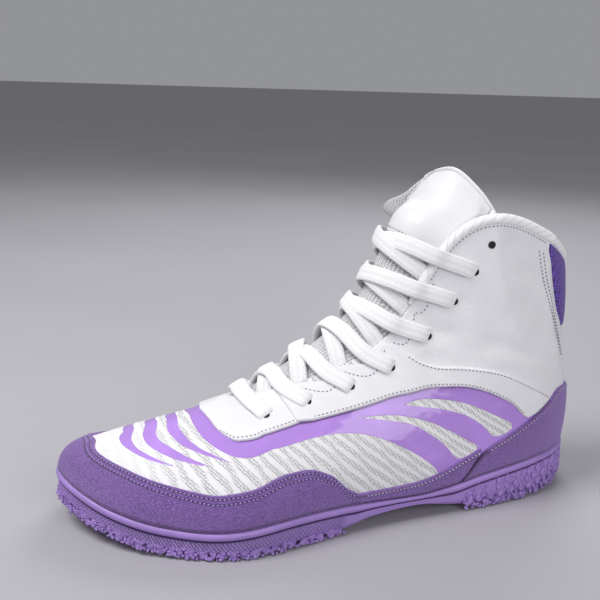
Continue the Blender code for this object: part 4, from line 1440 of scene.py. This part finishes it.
def make_guards():
    overlay = sizes().overlay / MM
    feather = ((0.0, 0.0), (LAST, 0.0))
    cut = Cut(0.0, GUARD_TOP[-1][0], "toe", feather, GUARD_TOP)
    guard = panel("guard", 420, 64, cut, overlay, tucked=True, shadow=guard_shadow)
    finish_piece(guard, suede_finish(), ("toe_guard",))
    cut = Cut(COUNTER_TOP[0][0], LAST, "heel", feather, COUNTER_TOP)
    counter = panel("counter", 260, 48, cut, overlay, tucked=True, shadow=counter_shadow)
    finish_piece(counter, suede_finish(), ("heel_counter",))
    for side, word in ((1, "outer"), (-1, "inner")):
        cut = Cut(BAND_TOP[0][0], BAND_TOP[-1][0], side, BAND_LOW, BAND_TOP)
        band = panel("band_" + word, 110, 24, cut, overlay, shadow=band_shadow)
        finish_piece(band, suede_finish(), ("waist_band_" + word,))


TAB_THINNER = 0.2
STAY_LIFT, STAY_LIFT_END, STAY_LIFT_FADE = 0.9, 6.15, 0.35


def stay_step(r, _):
    """Lifts the eyestay's front end over the tab."""
    return STAY_LIFT * smooth((STAY_LIFT_END - r) / STAY_LIFT_FADE)


def make_panels():
    overlay = sizes().overlay / MM
    full = ((0.0, 1.0), (LAST, 1.0))
    tabs = []
    for side, word in ((1, "outer"), (-1, "inner")):
        cut = Cut(EYESTAY_LOW[0][0], EYESTAY_LOW[-1][0], side, EYESTAY_LOW, EYESTAY_TOP)
        stay = panel("stay_" + word, 240, 56, cut, overlay, stay_step)
        finish_piece(stay, leather_finish(), ("eyestay_" + word,))
        cut = Cut(TAB_LOW[0][0], TAB_LOW[-1][0], side, TAB_LOW, full)
        tabs.append(panel("tab_" + word, 90, 50, cut, overlay - TAB_THINNER))
    tab = join(tabs, "tab")
    finish_piece(tab, leather_finish(), ("throat_tab",))


HOLE_RADIUS = 2.0
HOLE_DEPTH, HOLE_BEVEL = 0.2, 0.06
# The first four pairs of eyelets are punched in the panels, the others in the shaft.
HOLES_IN_PANELS = 4
PANEL_HOLE_LIFT, SHAFT_HOLE_LIFT = 1.55, 0.12


def hole_places():
    places = []
    step = 0.02
    for side in (1.0, -1.0):
        for number, row in enumerate(EYELETS):
            r, v = np.array([row.r]), np.array([row.v])
            normal = wall_normal(r, v, side)[0]
            up = unit(wall(r, v + step, side) - wall(r, v - step, side))[0]
            across = np.cross(up, normal)
            lift = PANEL_HOLE_LIFT if number < HOLES_IN_PANELS else SHAFT_HOLE_LIFT
            origin = wall(r, v, side)[0] + normal * lift
            places.append((origin, across * HOLE_RADIUS, up * HOLE_RADIUS, normal))
    return places


# Dark discs of painted shade stand for the open eyelet holes.
def make_holes():
    start_clean()
    bpy.ops.mesh.primitive_cylinder_add(vertices=20, radius=1.0, depth=HOLE_DEPTH, end_fill_type="NGON")
    shape = bpy.context.object
    bpy.ops.object.mode_set(mode="EDIT")
    bpy.ops.mesh.select_all(action="SELECT")
    bpy.ops.mesh.bevel(offset=HOLE_BEVEL, segments=2, affect="EDGES")
    bpy.ops.object.mode_set(mode="OBJECT")
    holes = scatter("eyelet_hole_shades", shape, hole_places())
    finish_piece(holes, plain_finish("punched_hole_shade", tuple(colours().hole_shade), 0.9))


# Collar


def along_line(points):
    """Distance from the first point to each point of a line."""
    return np.r_[0.0, np.cumsum(np.linalg.norm(np.diff(points, axis=0), axis=1))]


def sweep(name, points, normals, half_across, half_thick, around=16, round_power=1.0):
    """Closed tube along points; normals give its thickness direction."""
    tangent = unit(np.gradient(points, axis=0))
    across = unit(np.cross(normals, tangent))
    normals = np.cross(tangent, across)
    count = len(points)
    steps = along_line(points)

    def place(a, b):
        i = np.round(a * (count - 1)).astype(int)
        turn = b * 2 * math.pi
        cos, sin = np.cos(turn), np.sin(turn)
        wide = np.sign(cos) * np.abs(cos) ** round_power * half_across[i]
        thick = np.sign(sin) * np.abs(sin) ** round_power * half_thick[i]
        return points[i] + across[i] * wide[:, None] + normals[i] * thick[:, None]

    def plan(a, b):
        i = np.round(a * (count - 1)).astype(int)
        return np.column_stack([steps[i], 4 * b * (half_across[i] + half_thick[i])])

    piece, _, _ = lay_grid(name, count - 1, around, place, plan)
    weld(piece, 0.01)
    close_and_turn(piece)
    return piece


BINDING_FROM = 8.7
BINDING_STEPS = 260
BINDING_RAISE = 0.9
BINDING_FADE, BINDING_THIN = 0.6, 0.5
BINDING_FLAT = 1.1
QUILT_DEPTH, QUILT_STEP = 0.05, 1.9


def make_binding():
    outer = np.linspace(BINDING_FROM, LAST, BINDING_STEPS)
    r = np.r_[outer, outer[-2::-1]]
    side = np.r_[np.ones(BINDING_STEPS), -np.ones(BINDING_STEPS - 1)]
    one = np.ones_like(r)
    away = np.array([edge_away(np.array([value]), s)[0] for value, s in zip(r, side)])
    normal = wall_normal(r, one, side)
    middle = wall(r, one, side) - normal * UPPER_WALL / 2 + away * BINDING_RAISE
    fade = smooth((r - BINDING_FROM) / BINDING_FADE) * (1.0 - BINDING_THIN) + BINDING_THIN
    thick = sizes().binding / MM * fade
    quilt = 1.0 + QUILT_DEPTH * np.sin(np.arange(len(r)) * QUILT_STEP)
    roll = sweep("collar_roll", middle, normal, thick * BINDING_FLAT, thick * quilt)
    finish_piece(roll, binding_finish(), ("collar_binding",))


CUSHION_TOP = 0.985
CUSHION_PUFF, CUSHION_FADE = 2.4, 0.35
CUSHION_COVER = 0.4


def cushion_puff(r, v):
    """How far the padding swells between the cushion's edges."""
    low = curve_value(r, CUSHION_LOW)
    share = np.clip((v - low) / (CUSHION_TOP - low), 0, 1)
    swell = np.sqrt(np.clip(np.sin(math.pi * share), 0, 1))
    return CUSHION_PUFF * swell * smooth((r - CUSHION_LOW[0][0]) / CUSHION_FADE)


def make_cushion():
    top = ((0.0, CUSHION_TOP), (LAST, CUSHION_TOP))
    cut = Cut(CUSHION_LOW[0][0], LAST, "heel", CUSHION_LOW, top)
    pad = panel("heel_pad", 120, 44, cut, CUSHION_COVER, cushion_puff)
    knit = knit_finish("heel_knit", tuple(colours().knit), step=1.3, light=1.9)
    finish_piece(pad, knit, ("heel_cushion",))


# Tongue

TONGUE_SECTIONS = (5.12, 5.35, 5.8, 6.4, 7.0, 7.6, 8.2, 8.8, 9.4, 9.9)
TongueEdge = namedtuple("TongueEdge", "name x y z")
TONGUE_TOP = (
    TongueEdge("medial_side", -36.5, -33.0, 151.5),
    TongueEdge("medial_corner", -38.0, -32.0, 157.0),
    TongueEdge("medial_shoulder", -44.0, -21.0, 163.0),
    TongueEdge("medial_crown", -54.0, -14.5, 173.0),
    TongueEdge("crown", -60.0, -8.0, 177.0),
    TongueEdge("lateral_crown", -63.5, 0.0, 177.2),
    TongueEdge("lateral_shoulder", -70.0, 9.5, 169.0),
    TongueEdge("lateral_corner", -75.0, 15.0, 161.5),
    TongueEdge("lateral_side", -79.0, 18.0, 154.5),
)
TONGUE_STEPS = (0.3, 0.58, 0.83, 1.0)
TONGUE_FLARE = 2.5
TONGUE_LEAN = 0.7
TONGUE_TUCK = (0.2, 0.1, 0.0)
TONGUE_FREE = (8.8, 9.9, 0.35)
TONGUE_LEAVE = (0.03, 0.07, 0.12)
TONGUE_SHARES = (0.25, 0.5, 0.75)
TONGUE_CLEAR = 0.3


def tongue_rows():
    """Rows of points over the tongue: under the throat's edges, then out to its free top edge."""
    inside = -(UPPER_WALL + GAP + TONGUE_CLEAR)
    rows = []
    first, last, left = TONGUE_FREE
    share, leave = np.array(TONGUE_SHARES), np.array(TONGUE_LEAVE)
    for r in TONGUE_SECTIONS:
        tuck = 1.0 - np.array(TONGUE_TUCK) * np.interp(r, (first, last), (1.0, left))
        deep = np.full(3, inside)
        medial = skin(r + 0 * tuck, tuck, -1, deep) if r < last else bridge(r + 0 * leave, leave, deep)
        lateral = skin(r + 0 * tuck, tuck, 1, deep)[::-1]
        rows.append(np.concatenate([medial, bridge(r + 0 * share, share, deep), lateral]))
    base = rows[-1]
    edge = np.array([(row.x, row.y, row.z) for row in TONGUE_TOP])
    for step in TONGUE_STEPS:
        rows.append(base + (edge - base) * (step**TONGUE_LEAN, step**TONGUE_FLARE, step))
    return np.array(rows)


def flowing(points, share):
    """Points of a smooth line through points at shares from 0 to 1 of its count."""
    place = np.clip(share, 0, 1) * (len(points) - 1)
    i = np.clip(np.floor(place).astype(int), 0, len(points) - 2)
    t = (place - i).reshape((-1,) + (1,) * (points.ndim - 1))
    before, far = points[np.maximum(i - 1, 0)], points[np.minimum(i + 2, len(points) - 1)]
    return smooth_step(before, points[i], points[i + 1], far, t)


def tongue_place(a, b, rows):
    """Point at the share a across and b along the tongue."""
    lines = flowing(rows, b)
    number = np.arange(len(a))
    last = rows.shape[1] - 1
    place = np.clip(a, 0, 1) * last
    i = np.clip(np.floor(place).astype(int), 0, last - 1)
    before, far = lines[number, np.maximum(i - 1, 0)], lines[number, np.minimum(i + 2, last)]
    return smooth_step(before, lines[number, i], lines[number, i + 1], far, (place - i)[:, None])


def tongue_out(a, b, rows):
    """Direction out of the tongue's front."""
    step = 0.004
    along = tongue_place(a, np.clip(b + step, 0, 1), rows) - tongue_place(a, np.clip(b - step, 0, 1), rows)
    across = tongue_place(np.clip(a + step, 0, 1), b, rows) - tongue_place(np.clip(a - step, 0, 1), b, rows)
    return unit(np.cross(across, along))


PATCH_FROM, PATCH_TO = 0.66, 0.988
PATCH_LEFT = ((0.0, 0.2), (0.45, 0.24), (0.85, 0.33), (1.0, 0.38))
PATCH_RIGHT = ((0.0, 0.86), (0.4, 0.95), (1.0, 0.955))
PATCH_BOW = 0.02
PATCH_MM = 46.0
PATCH_GAP, PATCH_WALL, PATCH_RADIUS, PATCH_BACK = 0.7, 0.9, 1.4, 0.8
PATCH_PAD, PATCH_PAD_WIDTH = 0.4, 9.0
PIPING_INSET = 4.2
PIPING_GROOVE, PIPING_GROOVE_WIDTH = 0.5, 0.6
PIPING_MIDDLE, PIPING_HEIGHT, PIPING_WIDTH = 2.0, 0.7, 1.6


def patch_place(a, b):
    """Share across and along the tongue for a share of its leather patch."""
    left, right = curve_value(b, PATCH_LEFT), curve_value(b, PATCH_RIGHT)
    bow = PATCH_BOW * np.sin(math.pi * a) * (1 - b)
    return left + (right - left) * a, PATCH_FROM + (PATCH_TO - PATCH_FROM) * b - bow


def hill(distance, width):
    """A rounded ridge, 1 at its middle."""
    return np.exp(-((distance / width) ** 2))


def piping_distance(a, b):
    """Distance from the patch's piped edges, its top and its outer side."""
    return np.minimum((1 - cluster(a)) * PATCH_MM, (1 - cluster(b)) * PATCH_MM)


TONGUE_WIDE, TONGUE_LONG = 62.0, 165.0
TONGUE_WALL = 3.4
TONGUE_PUFF, TONGUE_THIN = 0.9, 1.1
TONGUE_PUFF_WIDTH, TONGUE_THIN_WIDTH = 9.0, 3.0
# Edges of the tongue's body in millimetres, for its padding.
BODY_WIDE, BODY_LONG = 60.0, 150.0


def tongue_plan(a, b):
    return np.column_stack([a * TONGUE_WIDE, b * TONGUE_LONG])


def make_tongue():
    rows = tongue_rows()

    def body(a, b):
        edge = np.minimum(np.minimum(a, 1 - a) * BODY_WIDE, (1 - b) * BODY_LONG)
        padded = TONGUE_PUFF * smooth(edge / TONGUE_PUFF_WIDTH)
        puff = padded - TONGUE_THIN * smooth(1 - edge / TONGUE_THIN_WIDTH)
        return tongue_place(a, b, rows) + tongue_out(a, b, rows) * puff[:, None]

    def patch(a, b):
        low_edges = np.minimum(cluster(a) * PATCH_MM, cluster(b) * PATCH_MM)
        piping = piping_distance(a, b)
        edge = np.minimum(low_edges, piping)
        groove = PIPING_GROOVE * hill(piping - PIPING_INSET, PIPING_GROOVE_WIDTH)
        roll = PIPING_HEIGHT * hill(piping - PIPING_MIDDLE, PIPING_WIDTH)
        pad = PATCH_PAD * smooth((edge - PIPING_INSET) / PATCH_PAD_WIDTH) + roll
        out = rounded(PATCH_GAP, PATCH_WALL, edge, PATCH_RADIUS) - groove + pad
        over, up = patch_place(cluster(a), cluster(b))
        return tongue_place(over, up, rows) + tongue_out(over, up, rows) * out[:, None]

    tongue, _, _ = lay_grid("tongue_body", 64, 150, body, tongue_plan)
    thicken(tongue, TONGUE_WALL)
    knit = knit_finish("tongue_knit", (0.74, 0.74, 0.76, 1.0), step=1.3, light=1.12, strength=0.7)
    finish_piece(tongue, knit, ("tongue",))
    flap, a, b = lay_grid("tongue_patch", 110, 100, patch, tongue_plan)
    # Distance to the piping groove, where the leather's finish paints shade.
    give_values(flap, "shaded_seam", np.abs(piping_distance(a, b) - PIPING_INSET))
    thicken(flap, PATCH_BACK)
    finish_piece(flap, leather_finish())
    sew_patch(rows)


PATCH_ROW = 0.045
PATCH_ROW_FROM, PATCH_ROW_TO, PATCH_ROW_TOP = 0.05, 0.95, 0.88
PATCH_ROW_LIFT = 1.75
PATCH_ROW_STEPS = 300


def sew_patch(rows):
    """Stitches along the patch's lower edge and its inner side."""
    inset = np.full(PATCH_ROW_STEPS, PATCH_ROW)
    lines = (
        patch_place(np.linspace(PATCH_ROW_FROM, PATCH_ROW_TO, PATCH_ROW_STEPS), inset),
        patch_place(inset, np.linspace(PATCH_ROW_FROM, PATCH_ROW_TOP, PATCH_ROW_STEPS)),
    )
    places = []
    for over, up in lines:
        normals = tongue_out(over, up, rows)
        places += stitch_places(tongue_place(over, up, rows) + normals * PATCH_ROW_LIFT, normals)
    sew("stitches_tongue", places, "tongue_thread", (0.3, 0.29, 0.33, 1.0))


# Lacing


def lace_point(edge, across, out):
    """Point over the throat (across up to 0.5 on either side), then over the wall to the eyelet (1)."""
    if abs(across) <= 0.5:
        return bridge(np.array([edge]), np.array([across + 0.5]), np.array([out]))[0]
    side = 1.0 if across > 0 else -1.0
    share = (abs(across) - 0.5) / 0.5
    edges = [row.edge for row in EYELETS]
    r = edge + share * (np.interp(edge, edges, [row.r for row in EYELETS]) - edge)
    v = 1.0 + share * (np.interp(edge, edges, [row.v for row in EYELETS]) - 1.0)
    return skin(np.array([r]), np.array([v]), side, np.array([out]))[0]


LacePlace = namedtuple("LacePlace", "across out")
RUN_START = (LacePlace(-0.62, -3.3), LacePlace(-0.5, -2.7))
RUN_END = (
    LacePlace(0.6, 2.9),
    LacePlace(0.8, 2.7),
    LacePlace(0.93, 2.2),
    LacePlace(1.0, 0.6),
    LacePlace(1.02, -2.0),
)
RUN_OVER = RUN_START + (
    LacePlace(-0.4, -0.6),
    LacePlace(-0.2, 1.5),
    LacePlace(0.0, 2.3),
    LacePlace(0.25, 2.6),
    LacePlace(0.45, 3.0),
) + RUN_END
RUN_UNDER = RUN_START + (
    LacePlace(-0.4, -1.0),
    LacePlace(-0.2, 0.4),
    LacePlace(0.0, 0.7),
    LacePlace(0.25, 1.7),
    LacePlace(0.45, 2.8),
) + RUN_END
RUN_BAR = (
    LacePlace(-1.02, -2.0),
    LacePlace(-1.0, 0.6),
    LacePlace(-0.93, 2.4),
    LacePlace(-0.7, 2.9),
    LacePlace(-0.3, 3.3),
    LacePlace(0.0, 3.4),
    LacePlace(0.3, 3.3),
    LacePlace(0.7, 2.9),
    LacePlace(0.93, 2.4),
    LacePlace(1.0, 0.6),
    LacePlace(1.02, -2.0),
)
LACE_STEPS = 64
# A run climbs from its start on one edge of the throat to its eyelet over this part of its width.
CLIMB_FROM, CLIMB_SPAN, CLIMB_BEFORE = 0.43, 1.43, -0.1
# Runs of the shaft's eyelets lie lower, because no panel is under them.
SHAFT_DROP, SHAFT_DROP_FROM = 1.5, 0.55
LACE_TAPER, LACE_TIP = 0.11, 0.3
LACE_SIDES, LACE_SQUARE = 14, 0.6


def lace_run(name, route, side, start, stop, lowered):
    """One flat run of lace from under one edge, or from an eyelet, to the eyelet opposite."""
    marks, outs = [], []
    for place in route:
        if start is None:
            edge = stop
        else:
            climbed = np.clip((place.across + CLIMB_FROM) / CLIMB_SPAN, CLIMB_BEFORE, 1.0)
            edge = start + (stop - start) * climbed
        drops = lowered and place.across > SHAFT_DROP_FROM and place.out > 0
        out = place.out - (SHAFT_DROP if drops else 0.0)
        marks.append(lace_point(edge, place.across * side, out))
        outs.append(lace_point(edge, place.across * side, out + 1.0))
    share = np.linspace(0, 1, LACE_STEPS)
    points = flowing(np.array(marks), share)
    normals = unit(flowing(np.array(outs), share) - points)
    tips = np.sqrt(np.clip(np.minimum(share, 1 - share) / LACE_TAPER, 0, 1)) * (1.0 - LACE_TIP) + LACE_TIP
    tapered = (share > 0.5) | (start is None)
    half = np.where(tapered, tips, 1.0) * sizes().lace_width / MM / 2
    thick = np.full(LACE_STEPS, sizes().lace_wall / MM / 2)
    return sweep(name, points, normals, half, thick, LACE_SIDES, LACE_SQUARE)


def make_laces():
    runs = [lace_run("lace_row", RUN_BAR, 1.0, None, EYELETS[0].edge, False)]
    for number in range(1, 7):
        row = EYELETS[number]
        lowered = number >= HOLES_IN_PANELS
        first = 1.0 if number % 2 else -1.0
        runs.append(lace_run("lace_run", RUN_OVER, first, row.start, row.edge, lowered))
        runs.append(lace_run("lace_run", RUN_UNDER, -first, row.start, row.edge, lowered))
    laces = join(runs, "laces")
    nodes = ["lace_bar"] + ["lace_crossing_%d" % number for number in range(1, 7)]
    finish_piece(laces, lace_finish(), nodes)


# Stitching

STITCH_WIDE, STITCH_HIGH = 0.32, 0.3
BETWEEN = 0.5


def stitch_shape():
    start_clean()
    bpy.ops.mesh.primitive_uv_sphere_add(segments=6, ring_count=4, radius=1.0)
    return bpy.context.object


def stitch_places(points, normals, phase=0.0):
    """Places of the stitches along close points on a surface; any phase gives the holes between, dark as
    painted shade.
    """
    steps = along_line(points)
    count = max(2, int(steps[-1] / (sizes().stitch_step / MM)))
    at = np.interp((np.arange(count) + 0.5 + phase) * steps[-1] / count, steps, np.arange(len(steps)))
    i = np.clip(np.round(at).astype(int), 1, len(points) - 2)
    tangent = unit(points[i + 1] - points[i - 1])
    half = sizes().stitch / MM / 2 * (0.5 if phase else 1.0)
    across = np.cross(normals[i], tangent) * STITCH_WIDE
    return list(zip(points[i], tangent * half, across, normals[i] * STITCH_HIGH))


def stitch_line(rows, side, out, shift=0.0, phase=0.0):
    """Stitches along a line of r and v; shift moves it down the wall in millimetres."""
    r = np.linspace(rows[0][0], rows[-1][0], 900)
    v = curve_value(r, rows)
    step = 0.02
    rise = wall(r, np.clip(v + step, 0, 1), side) - wall(r, np.clip(v - step, 0, 1), side)
    tall = np.linalg.norm(rise, axis=1) / (2 * step)
    v = v - shift / np.maximum(tall, 5.0)
    return stitch_places(skin(r, v, side, np.full_like(r, out)), wall_normal(r, v, side), phase)


def inner_rows(rows, first, last):
    """The part of a line between two sections."""
    inside = [row for row in rows if first < row[0] < last]
    ends = [(first, float(curve_value(first, rows))), (last, float(curve_value(last, rows)))]
    return [ends[0]] + inside + [ends[1]]


def sew(name, places, thread, base):
    """One piece of stitches, or of the holes' painted shade, with its finish."""
    stitches = scatter(name, stitch_shape(), places)
    finish_piece(stitches, plain_finish(thread, base, 0.7, THREAD_FIBRES))


SHAFT_ROW = ((9.3, 0.975), (10.2, 0.983), (11.0, 0.984), (11.9, 0.978))
Scallop = namedtuple("Scallop", "first last deep")
SCALLOPS = (
    Scallop(5.8, 6.1, 0.04),
    Scallop(6.1, 6.95, 0.09),
    Scallop(6.95, 7.9, 0.09),
    Scallop(8.1, 8.75, 0.07),
    Scallop(8.75, 9.4, 0.05),
)
SCALLOP_TOP = 0.95
SCALLOPS_ON_PANEL = 8.0
REAR_ROWS = (
    ((11.86, 0.94), (11.94, 0.84), (12.04, 0.72), (12.12, 0.62), (12.2, 0.45)),
    ((11.78, 0.94), (11.86, 0.84), (11.96, 0.72), (12.04, 0.62), (12.12, 0.45)),
)
GUARD_ROW = inner_rows(GUARD_TOP, 0.0, 6.45)
COUNTER_ROW = inner_rows(COUNTER_TOP, 9.65, 13.0)
BAND_ROW = inner_rows(BAND_TOP, 6.7, 9.4)
# Dark rows of the panels: the line, and how far below it the stitches lie.
STAY_LOW_ROW = inner_rows(EYESTAY_LOW, 5.8, 10.5)
STAY_TOP_ROW = inner_rows(EYESTAY_TOP, 8.3, 11.2)
TAB_ROW = inner_rows(TAB_LOW, 4.2, 5.7)
PANEL_ROW_SHIFT = 1.7
STITCH_LIFT = 0.34
HOLE_SINK = 0.1
SHAFT_LIFT, SHAFT_ROW_LIFT = 0.1, 0.05


def make_stitching():
    on_panel = sizes().overlay / MM + STITCH_LIFT
    # The holes are dark dots of painted shade in the needle holes between the stitches.
    pale, dark, lilac, holes = [], [], [], []
    for side in (1.0, -1.0):
        for shift in GUARD_SEAMS:
            lilac += stitch_line(GUARD_ROW, side, on_panel, shift)
            holes += stitch_line(GUARD_ROW, side, on_panel - HOLE_SINK, shift, BETWEEN)
        for row, seams in ((COUNTER_ROW, COUNTER_SEAMS), (BAND_ROW, BAND_SEAMS)):
            pale += stitch_line(row, side, on_panel, seams[0])
            holes += stitch_line(row, side, on_panel - HOLE_SINK, seams[0], BETWEEN)
        dark += stitch_line(STAY_LOW_ROW, side, on_panel, -PANEL_ROW_SHIFT)
        dark += stitch_line(STAY_TOP_ROW, side, on_panel, PANEL_ROW_SHIFT)
        dark += stitch_line(TAB_ROW, side, on_panel - TAB_THINNER, -PANEL_ROW_SHIFT)
        dark += stitch_line(SHAFT_ROW, side, SHAFT_ROW_LIFT)
        for scallop in SCALLOPS:
            r = np.linspace(scallop.first, scallop.last, 9)
            share = (r - scallop.first) / (scallop.last - scallop.first)
            v = SCALLOP_TOP - scallop.deep * np.sin(math.pi * share)
            out = on_panel if scallop.last < SCALLOPS_ON_PANEL else SHAFT_LIFT
            dark += stitch_line(list(zip(r, v)), side, out)
        for row in REAR_ROWS:
            dark += stitch_line(row, side, SHAFT_LIFT)
    sew("stitches_pale", pale, "stitches_pale_thread", (0.56, 0.48, 0.68, 1.0))
    sew("stitches_dark", dark, "stitches_dark_thread", (0.22, 0.2, 0.25, 1.0))
    sew("stitches_lilac", lilac, "stitches_lilac_thread", (0.4, 0.3, 0.62, 1.0))
    sew("stitch_hole_shades", holes, "stitch_hole_shade", (0.035, 0.018, 0.07, 1.0))


# Stage

FLOOR_SIZE = 60.0
FLOOR_CLOUDS = 3.0
FLOOR_COLOUR = (0.38, 0.37, 0.4, 1.0)
FLOOR_DARK, FLOOR_LIGHT = (0.37, 0.36, 0.39, 1.0), (0.39, 0.38, 0.41, 1.0)
SKY_COLOUR, SKY_STRENGTH = (0.86, 0.87, 0.9, 1.0), 0.34
Lamp = namedtuple("Lamp", "name place size power")
LAMPS = (
    Lamp("key", (0.75, 0.05, 1.15), 0.6, 15.0),
    Lamp("fill", (-0.25, 1.3, 0.6), 0.9, 9.0),
    Lamp("rim", (-0.55, -0.85, 0.95), 0.7, 7.0),
)
LAMP_TARGET = (0.0, 0.0, 0.07)
SENSOR_WIDTH = 36.0


def add_floor():
    start_clean()
    bpy.ops.mesh.primitive_plane_add(size=FLOOR_SIZE)
    floor = bpy.context.object
    floor.name = "floor"
    f = Finish("pale_floor", FLOOR_COLOUR, 0.75)
    f.set(base_color=f.mix(f.between(f.noise(FLOOR_CLOUDS), 0.3, 0.7), FLOOR_DARK, FLOOR_LIGHT))
    floor.data.materials.append(f.material)


def add_lights():
    world = bpy.data.worlds.new("studio")
    bpy.context.scene.world = world
    world.use_nodes = True
    back = world.node_tree.nodes["Background"]
    back.inputs["Color"].default_value = SKY_COLOUR
    back.inputs["Strength"].default_value = SKY_STRENGTH
    for lamp in LAMPS:
        data = bpy.data.lights.new(lamp.name, "AREA")
        data.energy = lamp.power
        data.size = lamp.size
        light = bpy.data.objects.new(lamp.name, data)
        light.location = lamp.place
        aim = Vector(LAMP_TARGET) - Vector(lamp.place)
        light.rotation_euler = aim.to_track_quat("-Z", "Y").to_euler()
        bpy.context.collection.objects.link(light)


def add_camera():
    a, e = math.radians(CAMERA.azimuth), math.radians(CAMERA.elevation)
    back_way = np.array([math.sin(a) * math.cos(e), -math.cos(a) * math.cos(e), math.sin(e)])
    right = np.array([math.cos(a), math.sin(a), 0.0])
    up = np.cross(back_way, right)
    target = np.array(CAMERA_PIVOT) + right * CAMERA.across + up * CAMERA.above
    turn = math.radians(CAMERA.roll)
    axes = np.eye(4)
    axes[:3, 0] = right * math.cos(turn) + up * math.sin(turn)
    axes[:3, 1] = up * math.cos(turn) - right * math.sin(turn)
    axes[:3, 2] = back_way
    axes[:3, 3] = (target + back_way * CAMERA.distance) * MM
    data = bpy.data.cameras.new("photo_camera")
    data.sensor_width = SENSOR_WIDTH
    data.lens = CAMERA.focal * SENSOR_WIDTH / CAMERA.frame
    camera = bpy.data.objects.new("photo_camera", data)
    camera.matrix_world = Matrix(axes.tolist())
    bpy.context.collection.objects.link(camera)
    bpy.context.scene.camera = camera


def make_stage():
    add_floor()
    add_lights()
    add_camera()
    bpy.context.scene.view_settings.view_transform = "Standard"


# Add-on classes


class SHOE_OT_stage(bpy.types.Operator):
    """Adds the floor, the lights and the camera"""

    bl_idname = "shoe.stage"
    bl_label = "Stage"
    bl_options = {"REGISTER", "UNDO"}

    def execute(self, context):
        make_stage()
        return {"FINISHED"}


class SHOE_OT_sole(bpy.types.Operator):
    """Models the rubber sole with its bead, ribs and studs"""

    bl_idname = "shoe.sole"
    bl_label = "Sole"
    bl_options = {"REGISTER", "UNDO"}

    def execute(self, context):
        make_sole()
        return {"FINISHED"}


class SHOE_OT_insole(bpy.types.Operator):
    """Models the footbed"""

    bl_idname = "shoe.insole"
    bl_label = "Insole"
    bl_options = {"REGISTER", "UNDO"}

    def execute(self, context):
        make_insole()
        return {"FINISHED"}


class SHOE_OT_upper(bpy.types.Operator):
    """Models the mesh, film and shaft leather"""

    bl_idname = "shoe.upper"
    bl_label = "Upper"
    bl_options = {"REGISTER", "UNDO"}

    def execute(self, context):
        make_upper()
        return {"FINISHED"}


class SHOE_OT_guards(bpy.types.Operator):
    """Models the toe guard, waist bands and heel counter"""

    bl_idname = "shoe.guards"
    bl_label = "Suede guards"
    bl_options = {"REGISTER", "UNDO"}

    def execute(self, context):
        make_guards()
        return {"FINISHED"}


class SHOE_OT_panels(bpy.types.Operator):
    """Models the throat tab and the eyestays"""

    bl_idname = "shoe.panels"
    bl_label = "Leather panels"
    bl_options = {"REGISTER", "UNDO"}

    def execute(self, context):
        make_panels()
        return {"FINISHED"}

# Puts dark discs of painted shade where the eyelets are punched

class SHOE_OT_holes(bpy.types.Operator):
    """Models the punched eyelets"""

    bl_idname = "shoe.holes"
    bl_label = "Eyelet holes"
    bl_options = {"REGISTER", "UNDO"}

    def execute(self, context):
        make_holes()
        return {"FINISHED"}


class SHOE_OT_binding(bpy.types.Operator):
    """Models the roll along the collar"""

    bl_idname = "shoe.binding"
    bl_label = "Collar binding"
    bl_options = {"REGISTER", "UNDO"}

    def execute(self, context):
        make_binding()
        return {"FINISHED"}


class SHOE_OT_cushion(bpy.types.Operator):
    """Models the padded knit at the back"""

    bl_idname = "shoe.cushion"
    bl_label = "Heel cushion"
    bl_options = {"REGISTER", "UNDO"}

    def execute(self, context):
        make_cushion()
        return {"FINISHED"}


class SHOE_OT_tongue(bpy.types.Operator):
    """Models the tongue and its leather patch"""

    bl_idname = "shoe.tongue"
    bl_label = "Tongue"
    bl_options = {"REGISTER", "UNDO"}

    def execute(self, context):
        make_tongue()
        return {"FINISHED"}


class SHOE_OT_laces(bpy.types.Operator):
    """Runs the flat lace through the eyelets"""

    bl_idname = "shoe.laces"
    bl_label = "Laces"
    bl_options = {"REGISTER", "UNDO"}

    def execute(self, context):
        make_laces()
        return {"FINISHED"}


class SHOE_OT_stitching(bpy.types.Operator):
    """Sews the rows of stitches"""

    bl_idname = "shoe.stitching"
    bl_label = "Stitching"
    bl_options = {"REGISTER", "UNDO"}

    def execute(self, context):
        make_stitching()
        return {"FINISHED"}


OPERATORS = (
    SHOE_OT_stage,
    SHOE_OT_sole,
    SHOE_OT_insole,
    SHOE_OT_upper,
    SHOE_OT_guards,
    SHOE_OT_panels,
    SHOE_OT_holes,
    SHOE_OT_binding,
    SHOE_OT_cushion,
    SHOE_OT_tongue,
    SHOE_OT_laces,
    SHOE_OT_stitching,
)


class SHOE_PT_panel(bpy.types.Panel):
    """Lists the pieces of the shoe"""

    bl_label = "Boxing shoe"
    bl_space_type = "VIEW_3D"
    bl_region_type = "UI"
    bl_category = "Shoe"

    def draw(self, context):
        for entry in OPERATORS:
            self.layout.operator(entry.bl_idname)


CLASSES = (ShoeColours, ShoeSizes) + OPERATORS + (SHOE_PT_panel,)


def register():
    for entry in CLASSES:
        bpy.utils.register_class(entry)
    bpy.types.Scene.shoe_colours = bpy.props.PointerProperty(type=ShoeColours)
    bpy.types.Scene.shoe_sizes = bpy.props.PointerProperty(type=ShoeSizes)


def unregister():
    del bpy.types.Scene.shoe_colours
    del bpy.types.Scene.shoe_sizes
    for entry in reversed(CLASSES):
        bpy.utils.unregister_class(entry)


def main():
    register()
    bpy.ops.shoe.stage()
    bpy.ops.shoe.sole()
    bpy.ops.shoe.insole()
    bpy.ops.shoe.upper()
    bpy.ops.shoe.guards()
    bpy.ops.shoe.panels()
    bpy.ops.shoe.holes()
    bpy.ops.shoe.binding()
    bpy.ops.shoe.cushion()
    bpy.ops.shoe.tongue()
    bpy.ops.shoe.laces()
    bpy.ops.shoe.stitching()


if __name__ == "__main__":
    main()
